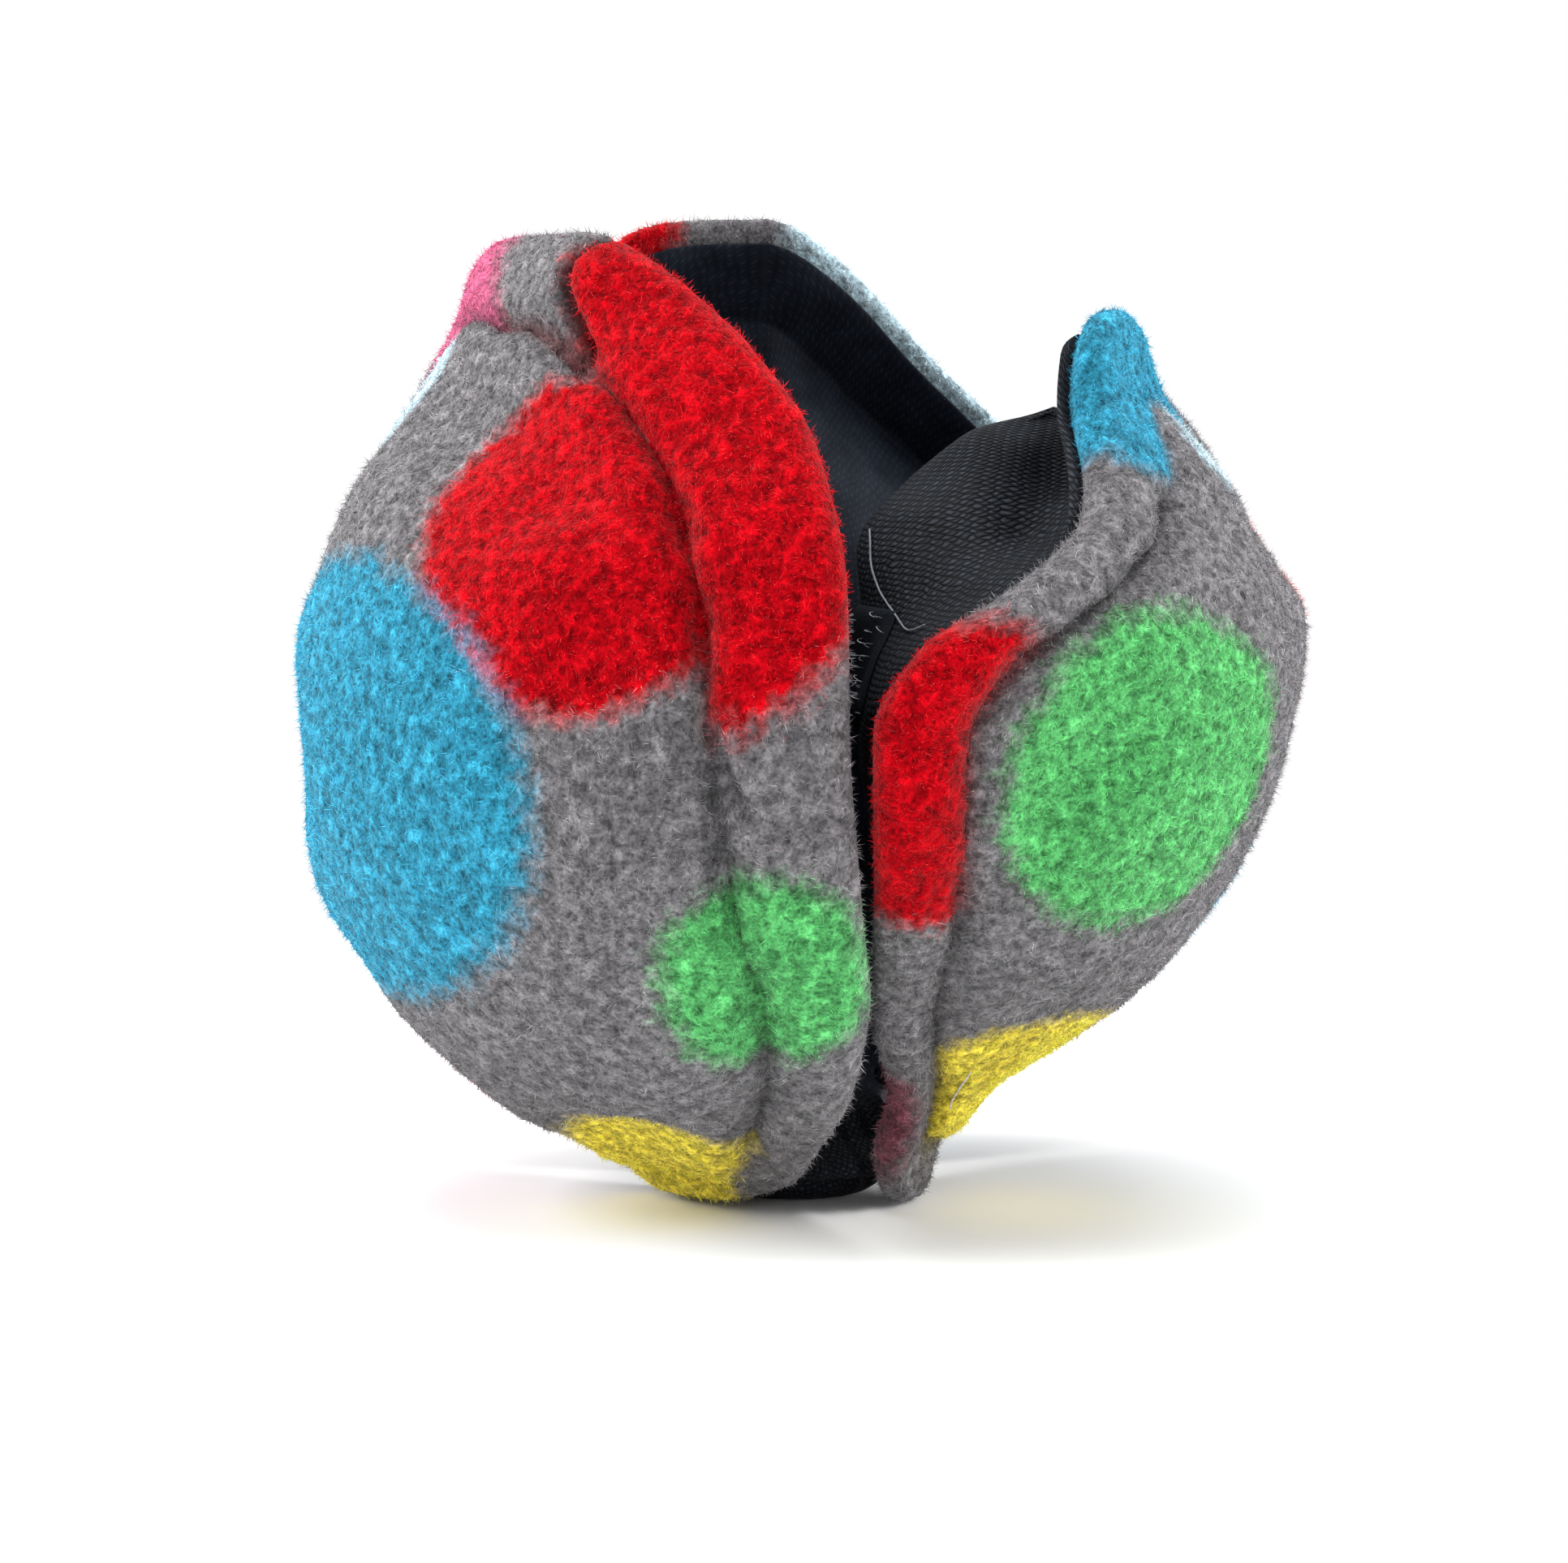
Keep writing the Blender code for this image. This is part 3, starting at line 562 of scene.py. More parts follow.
def swollen(name, points, share):
    # The points moved as the stuffed copy moved near them, and less the further they are from it
    if name not in stuffed:
        return points
    places, moves = stuffed[name]
    flat = points.reshape(-1, 3)
    result = flat.copy()
    for start in range(0, len(flat), stuffing["batch"]):
        part = flat[start:start + stuffing["batch"]]
        away = (part ** 2).sum(1)[:, None] + (places ** 2).sum(1)[None] - 2 * part @ places.T
        weight = np.exp(-away / (2 * stuffing["blur"] ** 2))
        total = weight.sum(1, keepdims=True) + stuffing["fade"]
        result[start:start + len(part)] += share * (weight @ moves) / total
    return result.reshape(points.shape)


for name, petal in petals.items():
    stuffed[name] = stuffPetal(name, petal)
print("stuffing done")


# Colours of the fleece, and the dots on every petal: latitude, azimuth, half height and half width
# in millimetres, turn in degrees, colour, and whether it is on the flange, the body or both
dyes = {
    "grey": (0.212, 0.204, 0.214),
    "red": (0.535, 0.0015, 0.007),
    "blue": (0.034, 0.310, 0.470),
    "sky": (0.560, 0.745, 0.835),
    "green": (0.112, 0.490, 0.152),
    "yellow": (0.950, 0.760, 0.070),
    "pink": (0.620, 0.120, 0.245),
    "plum": (0.260, 0.080, 0.110),
}
dots = {
    "left": (
        (21, 27, 20, 20, 0, "red", "both"),
        (30, 33, 33, 24, 32, "red", "flange"),
        (50, -24, 14, 14, 0, "pink", "flange"),
        (51, 3.2, 16, 5.0, 31, "grey", "flange"),
        (58.5, 10.0, 4.6, 4.6, 0, "grey", "flange"),
        (51.3, 21.2, 5.0, 5.0, 0, "red", "flange"),
        (-7, -9, 24, 32, 0, "blue", "both"),
        (-28, 48.5, 12, 11.2, 0, "green", "both"),
        (-67, 14, 13.5, 15, 0, "yellow", "both"),
        (-70, 50, 9, 6.5, 0, "grey", "both"),
        (40, -33, 8, 9, 0, "sky", "body"),
        (18, -52, 13, 12, 0, "green", "both"),
        (-48, -34, 10, 12, 0, "pink", "both"),
    ),
    "right": (
        (-5.5, -25, 17, 19.8, 0, "green", "both"),
        (-6, -52, 17.5, 20, 0, "red", "flange"),
        (42, -10, 15, 16, 0, "blue", "flange"),
        (47, 1, 9.5, 13, 0, "blue", "both"),
        (33, 10, 6, 9, 0, "sky", "body"),
        (-57, -13, 17, 19, 0, "yellow", "body"),
        (-64, -54, 9, 7, 0, "plum", "flange"),
        (10, 32, 16, 17, 0, "red", "both"),
        (-26, 26, 14, 16, 0, "blue", "both"),
        (-10, 58, 9, 10, 0, "pink", "both"),
    ),
    "back": (
        (54, -38, 22, 20, 0, "sky", "flange"),
        (58, 44, 14, 16, 0, "red", "flange"),
        (67, 12, 8, 7.0, 0, "grey", "flange"),
        (8, -22, 18, 19, 0, "green", "both"),
        (-22, 24, 17, 18, 0, "red", "both"),
        (30, 20, 16, 17, 0, "blue", "both"),
        (42, -20, 9, 10, 0, "yellow", "both"),
        (-52, -14, 15, 14, 0, "sky", "both"),
        (-8, -57, 12, 12, 0, "pink", "both"),
        (-8, 58, 12, 12, 0, "yellow", "both"),
    ),
}
dotEdge = {"softness": 1.5, "wobble": 0.9, "wobbleScale": 0.0035, "rag": 1.5, "ragScale": 0.0011}
perDegree = math.radians(1) * 57.0  # millimetres along the fleece


def dyeAt(name, latitude, azimuth, onFlange, points):
    # Colour of the fleece at every point, in arrays of the same shape
    wobble = noiseAt(points, dotEdge["wobbleScale"], 3.0) * dotEdge["wobble"]
    wobble += noiseAt(points, dotEdge["ragScale"], 5.0) * dotEdge["rag"]
    colour = np.zeros(points.shape) + np.array(dyes["grey"])
    for dotLatitude, dotAzimuth, high, wide, turn, colouring, zone in dots[name]:
        up = (latitude - dotLatitude) * perDegree
        right = (azimuth - dotAzimuth) * perDegree * np.cos(np.radians(latitude))
        c, s = math.cos(math.radians(turn)), math.sin(math.radians(turn))
        along, beside = up * c - right * s, up * s + right * c
        reach = np.sqrt((along / high) ** 2 + (beside / wide) ** 2) - 1
        inside = -reach * min(high, wide) + wobble
        amount = np.clip(inside / dotEdge["softness"] / 2 + 0.5, 0, 1)
        if zone == "flange":
            amount = amount * onFlange
        elif zone == "body":
            amount = amount * (1 - onFlange)
        colour += (np.array(dyes[colouring]) - colour) * amount[..., None]
    return colour


# Covers: the fleece of each petal, from its rounded rim over the sewn groove to its crown
cover = {
    "rows": 300,
    "flangeColumns": 30,
    "bodyColumns": 80,
    "rimRadius": 0.0034,
    "pressedReach": 0.0060,
    "crownDrop": 0.0014,
    "grooveFloor": 0.0009,
    "flangeShoulder": 0.0042,
    "bodyShoulder": 0.0056,
    "flangePuff": 0.22,
    "pucker": 0.00085,
    "puckerScale": 0.0058,
    "lump": 0.00050,
    "lumpScale": 0.0150,
    "tuft": 0.00022,
    "tuftScale": 0.0013,
    # painted light on the tops of the tufts and painted shade in the hollows between them
    "tuftLightAndShade": 0.50,
    # painted shade in the creases and along the groove: the crease depth where it is full, its strengths,
    # and its reach from the groove
    "creaseShadowDepth": 0.0012,
    "creaseShadowStrength": 0.78,
    "grooveShadowStrength": 0.48,
    "grooveShadowReach": 0.0012,
    "zoneBlend": 0.0003,
    "puckerReach": 0.0040,
    "puckerCalm": 0.0020,
    "edgeCalm": 0.0010,
    "bodySpacing": 1.15,
    "rimSpacing": 1.3,
}
puffs = {  # centre of the push, its reach, and the push, in metres
    "left": (
        ((-0.0360, -0.0130, 0.1050), 0.0090, (-0.0026, 0.0004, 0.0006)),
        ((-0.0425, -0.0120, 0.0990), 0.0100, (0.0036, 0.0008, -0.0010)),
        ((-0.0215, -0.0300, 0.1075), 0.0070, (-0.0010, -0.0022, 0.0008)),
    ),
    "right": (
        ((0.0580, -0.0040, 0.0480), 0.0260, (-0.0024, 0.0000, 0.0004)),
        ((0.0080, -0.0190, 0.0160), 0.0120, (0.0034, -0.0002, -0.0008)),
        ((0.0125, -0.0150, 0.0045), 0.0080, (-0.0008, -0.0004, -0.0030)),
        ((0.0130, -0.0052, 0.0040), 0.0100, (0.0006, 0.0000, -0.0030)),
    ),
    "back": (),
}
creases = {  # from latitude and azimuth, to latitude and azimuth, depth and width in millimetres
    "left": (
        (58.0, 18.5, 53.0, 12.2, 1.6, 1.0),
        (53.0, 12.2, 49.5, 12.4, 2.0, 1.0),
        (49.5, 12.4, 43.5, 19.0, 2.4, 1.0),
        (0.5, 42.3, -8.0, 46.3, 0.7, 0.8),
    ),
    "right": (),
    "back": (),
}


def halfThickness(petal, distance):
    # Of the flange, whose rim is pressed thinner on some petals
    pressed = (1 - petal["rimShare"]) * np.exp(-(distance / cover["pressedReach"]) ** 2)
    return ball["halfThickness"] * (1 - pressed)


def coverHeights(petal, rows, distance):
    half = halfThickness(petal, distance)
    width, length = rows["width"][:, None], rows["length"][:, None]
    rim = rounded(distance / cover["rimRadius"])
    toGroove = width - distance
    onFlange = 1 - (1 - np.clip(toGroove / cover["flangeShoulder"], 0, 1)) ** 3
    puff = 1 + cover["flangePuff"] * np.sin(math.pi * np.clip(distance / width, 0, 1))
    floor = cover["grooveFloor"] + (half - cover["grooveFloor"]) * rows["plain"][:, None]
    flange = rim * (floor + (half * puff - floor) * onFlange)
    share = np.clip((distance - width) / (length - width), 0, 1)
    half = ball["halfThickness"]
    rise = ball["radius"] - ball["seamRadius"] - half - ball["shoulder"] - cover["crownDrop"]
    crown = half + ball["shoulder"] + rise * (1 - (1 - share) ** ball["crownPower"])
    onBody = 1 - (1 - np.clip(-toGroove / cover["bodyShoulder"], 0, 1)) ** 3
    body = floor + (crown - floor) * onBody
    return np.where(toGroove > 0, flange, body), crown


def creaseAt(name, latitude, azimuth):
    # How deep the folds press into the fleece
    depth = latitude * 0
    for startLatitude, startAzimuth, endLatitude, endAzimuth, deep, wide in creases[name]:
        narrow = math.cos(math.radians((startLatitude + endLatitude) / 2))
        x = (azimuth - startAzimuth) * perDegree * narrow
        y = (latitude - startLatitude) * perDegree
        toX = (endAzimuth - startAzimuth) * perDegree * narrow
        toY = (endLatitude - startLatitude) * perDegree
        length = math.hypot(toX, toY)
        along = np.clip((x * toX + y * toY) / length ** 2, 0, 1)
        away = np.hypot(x - along * toX, y - along * toY)
        depth = np.maximum(depth, deep * np.exp(-(away / wide) ** 2))
    return depth / 1000


def makeCover(name, petal):
    rows = petalRows(petal, cover["rows"])
    width, length = rows["width"][:, None], rows["length"][:, None]

    def shaped(points):
        return settle(pushed(swollen(name, toBall(petal, points), 1.0), puffs[name]))

    flangeSteps = np.linspace(0, 1, cover["flangeColumns"] + 1)[None, :-1]
    bodySteps = np.linspace(0, 1, cover["bodyColumns"] + 1)[None, :] ** cover["bodySpacing"]
    distance = np.concatenate([width * flangeSteps, width + (length - width) * bodySteps], 1)
    height = coverHeights(petal, rows, distance)[0]
    shape, latitude, azimuth = across(petal, rows, distance, height)
    shape = shaped(shape)
    normal = gridNormals(shape)
    fromGroove = np.abs(distance - width)
    nearGroove = np.exp(-fromGroove / cover["puckerReach"]) * np.clip(distance / cover["puckerCalm"], 0, 1)
    lift = noiseAt(shape, cover["lumpScale"], 1.0) * cover["lump"]
    lift += noiseAt(shape, cover["puckerScale"], 2.0) * cover["pucker"] * nearGroove
    tuft = noiseAt(shape, cover["tuftScale"], 4.0)
    tuft += 0.5 * noiseAt(shape, cover["tuftScale"] / 2, 8.0)
    crease = creaseAt(name, latitude, azimuth)
    lift += tuft * cover["tuft"] - crease
    fade = np.clip(distance / cover["edgeCalm"], 0, 1)
    fade = fade * np.clip((length - distance) / cover["edgeCalm"], 0, 1) * 0.999 + 0.001
    shape = aboveFloor(shape + normal * (lift * fade)[..., None])
    onFlange = 1 / (1 + np.exp((distance - width) / cover["zoneBlend"]))
    colour = dyeAt(name, latitude, azimuth, onFlange, shape)
    # Painted shade: the colour is darkened along the sewn groove and in the creases, where shade falls
    paintedGrooveShade = np.exp(-fromGroove / cover["grooveShadowReach"]) * cover["grooveShadowStrength"]
    paintedGrooveShade = paintedGrooveShade * (1 - rows["plain"][:, None])
    paintedCreaseShade = np.clip(crease / cover["creaseShadowDepth"], 0, 1) * cover["creaseShadowStrength"]
    paintedGrooveShade = np.maximum(paintedGrooveShade, paintedCreaseShade)
    # Painted light and shade: the tops of the tufts lighter and their hollows darker, times the painted
    # groove and crease shade
    shadow = np.exp(tuft * cover["tuftLightAndShade"]) * (1 - paintedGrooveShade)

    # The inner side: round the rim, under the flange, and deep inside the body
    rimSteps = np.linspace(0, 1, 7)[None, :] ** cover["rimSpacing"] * cover["rimRadius"]
    backSteps = np.array([[0.55, 1.0]])
    deepSteps = np.array([[0.1, 0.4, 1.0]])
    inner = np.concatenate([
        rimSteps + width * 0,
        cover["rimRadius"] + (width - cover["rimRadius"]) * backSteps,
        width + (length - width) * deepSteps,
    ], 1)
    innerCrown = coverHeights(petal, rows, inner)[1]
    flangeBack = -rounded(inner / cover["rimRadius"]) * halfThickness(petal, inner)
    innerHeight = np.where(inner > width + 0.0001, innerCrown - ball["fleece"], flangeBack)
    back, backLatitude, backAzimuth = across(petal, rows, inner, innerHeight)
    back = shaped(back)
    backNormal = -gridNormals(back)
    rimFade = np.clip(inner / cover["edgeCalm"], 0, 1) * (inner < width)
    backLift = noiseAt(back, cover["tuftScale"], 4.0) * cover["tuft"] * rimFade
    back = aboveFloor(back + backNormal * backLift[..., None])
    backColour = dyeAt(name, backLatitude, backAzimuth, inner * 0 + 1, back)

    points, faces, places = closedSheets(rows, shape, back)
    piece = buildMesh(name + "Cover", points, faces)
    colours = np.zeros((len(points), 3))
    colours[places[1]] = backColour
    colours[places[0]] = colour * shadow[..., None]
    paint(piece, colours)
    rim = rimSteps.shape[1]
    # The fibres take the colour with its painted groove and crease shade
    sources = (
        (shape, normal, colour * (1 - paintedGrooveShade)[..., None], tuft),
        (back[:, :rim], backNormal[:, :rim], backColour[:, :rim], back[:, :rim, 0] * 0),
    )
    return piece, sources


# Pile: fine fibres that stand on the fleece
pile = {
    "count": 49000,
    "length": 0.00100,
    "width": 0.000064,
    "lean": 2.4,
    "swirlScale": 0.0017,
    "stray": 2,
    # the tufts' painted light and shade, carried onto the fibres
    "tuftLightAndShade": 0.50,
    "shadeSpread": 0.25,
    # how much lighter the fibres are painted than the cloth beneath them, as painted light
    "paintedFibreLift": 0.17,
    "seed": 5,
}
fibres = {  # of all fibres: how they turn and vary, how deep they stand, and their palest colour
    "swirl": 2.2,
    "turn": 0.55,
    "leans": (0.45, 1.25),
    "lengths": (0.45, 1.3),
    "widths": (0.6, 1.3),
    "sunk": 0.00008,
    "tint": 0.03,
    "palest": 0.9,
}


def makePile(name, sources):
    random = np.random.default_rng(pile["seed"])
    roots, normals, colours, tufts, areas = [], [], [], [], []
    for grid, normal, colour, tuft in sources:
        along = np.roll(grid, -1, axis=0) - grid
        beside = np.diff(grid, axis=1)
        areas.append(np.linalg.norm(np.cross(along[:, :-1], beside), axis=-1))
    total = sum(area.sum() for area in areas)
    for (grid, normal, colour, tuft), area in zip(sources, areas):
        count = int(pile["count"] * area.sum() / total)
        odds = (area / area.sum()).ravel()
        cell = random.choice(len(odds), count, p=odds)
        row, column = np.divmod(cell, area.shape[1])
        following = (row + 1) % grid.shape[0]
        u, v = random.random((2, count, 1))
        corners = ((row, column, (1 - u) * (1 - v)), (following, column, u * (1 - v)),
                   (row, column + 1, (1 - u) * v), (following, column + 1, u * v))
        roots.append(sum(grid[r, c] * weight for r, c, weight in corners))
        normals.append(sum(normal[r, c] * weight for r, c, weight in corners))
        tufts.append(sum(tuft[r, c, None] * weight for r, c, weight in corners))
        strayRow, strayColumn = random.integers(-pile["stray"], pile["stray"] + 1, (2, count))
        nearRow = (row + strayRow) % grid.shape[0]
        nearColumn = np.clip(column + strayColumn, 0, grid.shape[1] - 1)
        colours.append(colour[nearRow, nearColumn])
    roots, normals = np.concatenate(roots), np.concatenate(normals)
    colours, tufts = np.concatenate(colours), np.concatenate(tufts)
    normals /= np.linalg.norm(normals, axis=1, keepdims=True)
    # Random tone of each fibre, lifted as painted light above the cloth beneath
    shade = random.normal(size=(len(roots), 1)) * pile["shadeSpread"] + pile["paintedFibreLift"]
    # the tufts' painted light and shade on the fibres too
    shade = np.exp(shade + tufts * pile["tuftLightAndShade"])
    return standFibres(name + "Pile", roots, normals, colours * shade, pile, random)


def standFibres(name, roots, normals, colours, made, random):
    # One thin spike for every fibre, leaning with its neighbours
    count = len(roots)
    swirl = np.array([noise.noise_vector(p) for p in (roots / made["swirlScale"]).tolist()])
    swirl = swirl * fibres["swirl"] + random.normal(size=(count, 3)) * fibres["turn"]
    swirl -= normals * (swirl * normals).sum(1, keepdims=True)
    lean = made["lean"] * random.uniform(*fibres["leans"], (count, 1))
    direction = normals + swirl * lean
    direction /= np.linalg.norm(direction, axis=1, keepdims=True)
    length = made["length"] * random.uniform(*fibres["lengths"], (count, 1))
    wide = made["width"] * random.uniform(*fibres["widths"], (count, 1))
    side = np.cross(direction, random.normal(size=(count, 3)))
    side /= np.linalg.norm(side, axis=1, keepdims=True)
    other = np.cross(direction, side)
    foot = roots - normals * fibres["sunk"]
    ring = [foot + (side * math.cos(a) + other * math.sin(a)) * wide for a in (0, 2.094, 4.189)]
    points = aboveFloor(np.stack(ring + [foot + direction * length], 1).reshape(-1, 3))
    first = np.arange(count)[:, None] * 4
    faces = np.concatenate([first + np.array(f) for f in ((0, 2, 1), (0, 1, 3), (1, 2, 3), (2, 0, 3))])
    piece = buildMesh(name, points, faces)
    tint = 1 + random.normal(size=(count, 3)) * fibres["tint"]
    paint(piece, np.repeat(np.clip(colours * tint, 0, fibres["palest"]), 4, axis=0))
    return piece


# Linings: the black woven inner face of each petal
lining = {
    "rows": 120,
    "flangeColumns": 20,
    "domeColumns": 60,
    "backStep": 5,
    "wrinkle": 0.00055,
    "wrinkleScale": 0.0090,
    "pitch": 0.00066,
    "flangeSpacing": 1.6,
    "domeSpacing": 0.8,
    "hemCalm": 0.0040,
    "thinnestUnder": 0.30,
    "hemPower": 6,
}
swells = {  # centre of the push, its reach, and the push, in metres
    "left": (),
    "right": (
        ((0.0130, -0.0125, 0.0770), 0.0090, (-0.0046, -0.0010, 0.0012)),
        ((0.0215, -0.0160, 0.0870), 0.0080, (-0.0012, -0.0008, 0.0018)),
        ((0.0100, -0.0225, 0.0630), 0.0060, (0.0016, 0.0012, 0.0)),
        ((0.0292, -0.0185, 0.0850), 0.0052, (0.0006, 0.0032, -0.0014)),
        ((0.0265, -0.0218, 0.0795), 0.0048, (0.0004, 0.0022, -0.0016)),
    ),
    "back": (),
}


def domeShape(petal, rows, start, share):
    # The bulging part of a lining, from its start at the flange to its ridge
    leftOver = 1 - share
    lift = leftOver ** rows["power"][:, None]
    ridge = rows["ridge"][:, None, :]
    dome = ridge + (start - ridge) * lift[..., None]
    dome[..., 1] = start[..., 1] * leftOver
    return dome


def dressLining(name, shape, fade):
    # Swells and wrinkles. They depend on the place alone, so the tapes on a lining follow it
    shape = settle(pushed(swollen(name, shape, stuffing["liningShare"]), swells[name]))
    wave = noiseAt(shape, lining["wrinkleScale"], 6.0)
    wave = wave + 0.4 * noiseAt(shape, lining["wrinkleScale"] / 2, 7.0)
    return shape, wave * lining["wrinkle"] * fade


def flangeUnder(petal, rows, distance, steps):
    # The part of a lining that lies under the flange, from its hem
    curve = np.maximum(rounded(distance / cover["rimRadius"]), lining["thinnestUnder"])
    under = -halfThickness(petal, distance) * curve - ball["liningGap"] - ball["lining"]
    atHem = (1 - steps) ** lining["hemPower"]
    return across(petal, rows, distance, under + atHem * ball["lining"] / 2)[0]


def makeLining(name, petal):
    rows = petalRows(petal, lining["rows"])
    width = rows["width"][:, None]
    hem = rows["hem"][:, None]
    steps = np.linspace(0, 1, lining["flangeColumns"] + 1)[None, :]
    flat = flangeUnder(petal, rows, hem + (width - hem) * steps ** lining["flangeSpacing"], steps)
    share = np.linspace(0, 1, lining["domeColumns"] + 1)[None, 1:] ** lining["domeSpacing"]
    dome = domeShape(petal, rows, flat[:, -1:, :], share)
    shape = toBall(petal, np.concatenate([flat, dome], 1))
    run = np.cumsum(np.linalg.norm(np.diff(shape, axis=1), axis=-1), 1)
    run = np.concatenate([np.zeros((len(shape), 1)), run], 1)
    shape, wave = dressLining(name, shape, np.clip(run / lining["hemCalm"], 0, 1))
    normal = -gridNormals(shape)
    shape = shape + normal * wave[..., None]
    hidden = shape - normal * ball["lining"]
    hidden[:, 0] = shape[:, 0]
    hidden = hidden[:, ::lining["backStep"]]
    points, faces, places = closedSheets(rows, shape, hidden)
    piece = buildMesh(name + "Lining", points, faces[:, ::-1])
    # Flat measures of the cloth: across the petal from its ridge, and along it
    side = np.where(np.arange(len(shape)) < rows["count"], 1.0, -1.0)[:, None]
    ridge = ridgeLine(petal)
    path = np.concatenate([[0], np.cumsum(np.linalg.norm(np.diff(ridge, axis=0), axis=1))])
    along = np.interp(rows["share"], np.linspace(0, 1, len(path)), path)[:, None]
    measures = np.stack([(run[:, -1:] - run) * side, along + run * 0], -1)
    flatMap = np.zeros((len(points), 2))
    flatMap[places[1]] = measures[:, ::lining["backStep"]]
    flatMap[places[0]] = measures
    mapCloth(piece, flatMap)
    return piece


def ridgeLine(petal):
    share = np.linspace(0, 1, 60)
    outwards = readTable([(s, d) for s, d, h in petal["ridge"]], share)
    upwards = readTable([(s, h) for s, d, h in petal["ridge"]], share)
    return np.stack([outwards, upwards], -1) * ball["radius"]


# Tapes: a strip of hooks on one wall of each lining and a strip of loops on the other
tape = {
    "rows": 180,
    "from": 0.50,
    "to": 0.64,
    "wallFrom": 0.40,
    "wallTo": 0.84,
    "columns": 26,
    "thickness": 0.0007,
    "roundness": 0.28,
    "loops": 5200,
    "length": 0.00105,
    "width": 0.00007,
    "lean": 1.2,
    "swirlScale": 0.0012,
    "hookPitch": 0.00150,
    "hookHeight": 0.00095,
    "hookRadius": 0.000065,
    "hookTurn": 0.70,
    "hookGaps": 0.45,
    "hookSteps": 5,
    "hookBend": 0.9,
    "hookReach": 0.62,
    "gap": 0.0001,
    "ends": 1.6,
    "loopShade": (0.020, 0.022, 0.028),
    "loopShadeSpread": 0.7,
    "seed": 9,
}


def tapeGrid(name, petal, side):
    # The visible face of a lining where a tape lies on it, with its normals out of the lining
    rows = petalRows(petal, tape["rows"])
    first, last = int(tape["from"] * tape["rows"]), int(tape["to"] * tape["rows"])
    width = rows["width"][:, None]
    start = flangeUnder(petal, rows, width, width * 0 + 1)
    share = np.linspace(tape["wallFrom"], tape["wallTo"], tape["columns"] + 1)[None, :] + width * 0
    shape, wave = dressLining(name, toBall(petal, domeShape(petal, rows, start, share)), 1.0)
    normal = -gridNormals(shape)
    shape = shape + normal * wave[..., None]
    chosen = np.arange(first, last + 1)
    if side == "left":
        chosen = 2 * tape["rows"] - chosen
    return shape[chosen], normal[chosen]


def makeTape(name, petal, side, kind):
    shape, normal = tapeGrid(name, petal, side)
    rows, columns = shape.shape[:2]
    u = np.linspace(0, 1, rows)[:, None]
    v = np.linspace(0, 1, columns)[None, :]
    edge = np.minimum(np.minimum(u, 1 - u) * tape["ends"], np.minimum(v, 1 - v))
    height = tape["thickness"] * rounded(edge / tape["roundness"])
    top = shape + normal * (2 * tape["gap"] + height)[..., None]
    under = shape + normal * tape["gap"]
    points = np.concatenate([top.reshape(-1, 3), under.reshape(-1, 3)])
    place = np.arange(rows * columns).reshape(rows, columns)
    faces = np.stack([place[:-1, :-1], place[:-1, 1:], place[1:, 1:], place[1:, :-1]], -1)
    faces = faces.reshape(-1, 4)
    loop = np.concatenate([place[0, :-1], place[:-1, -1], place[-1, :0:-1], place[:0:-1, 0]])
    after = np.roll(loop, -1)
    wall = np.stack([loop, loop + rows * columns, after + rows * columns, after], -1)
    faces = np.concatenate([faces, faces[:, ::-1] + rows * columns, wall])
    piece = buildMesh(name + kind.capitalize() + "Tape", points, faces)
    turnOutwards(piece)
    return piece, top, normal


def makeLoops(name, top, normal):
    random = np.random.default_rng(tape["seed"])
    count = tape["loops"]
    row = random.integers(1, top.shape[0] - 1, count)
    column = random.integers(1, top.shape[1] - 1, count)
    jitter = random.uniform(-0.5, 0.5, (count, 2))
    down = (top[row + 1, column] - top[row - 1, column]) / 2
    beside = (top[row, column + 1] - top[row, column - 1]) / 2
    roots = top[row, column] + down * jitter[:, :1] + beside * jitter[:, 1:]
    shade = np.exp(random.normal(size=(count, 1)) * tape["loopShadeSpread"])
    shade = shade * np.array([tape["loopShade"]])
    return standFibres(name + "Loops", roots, normal[row, column], shade, tape, random)


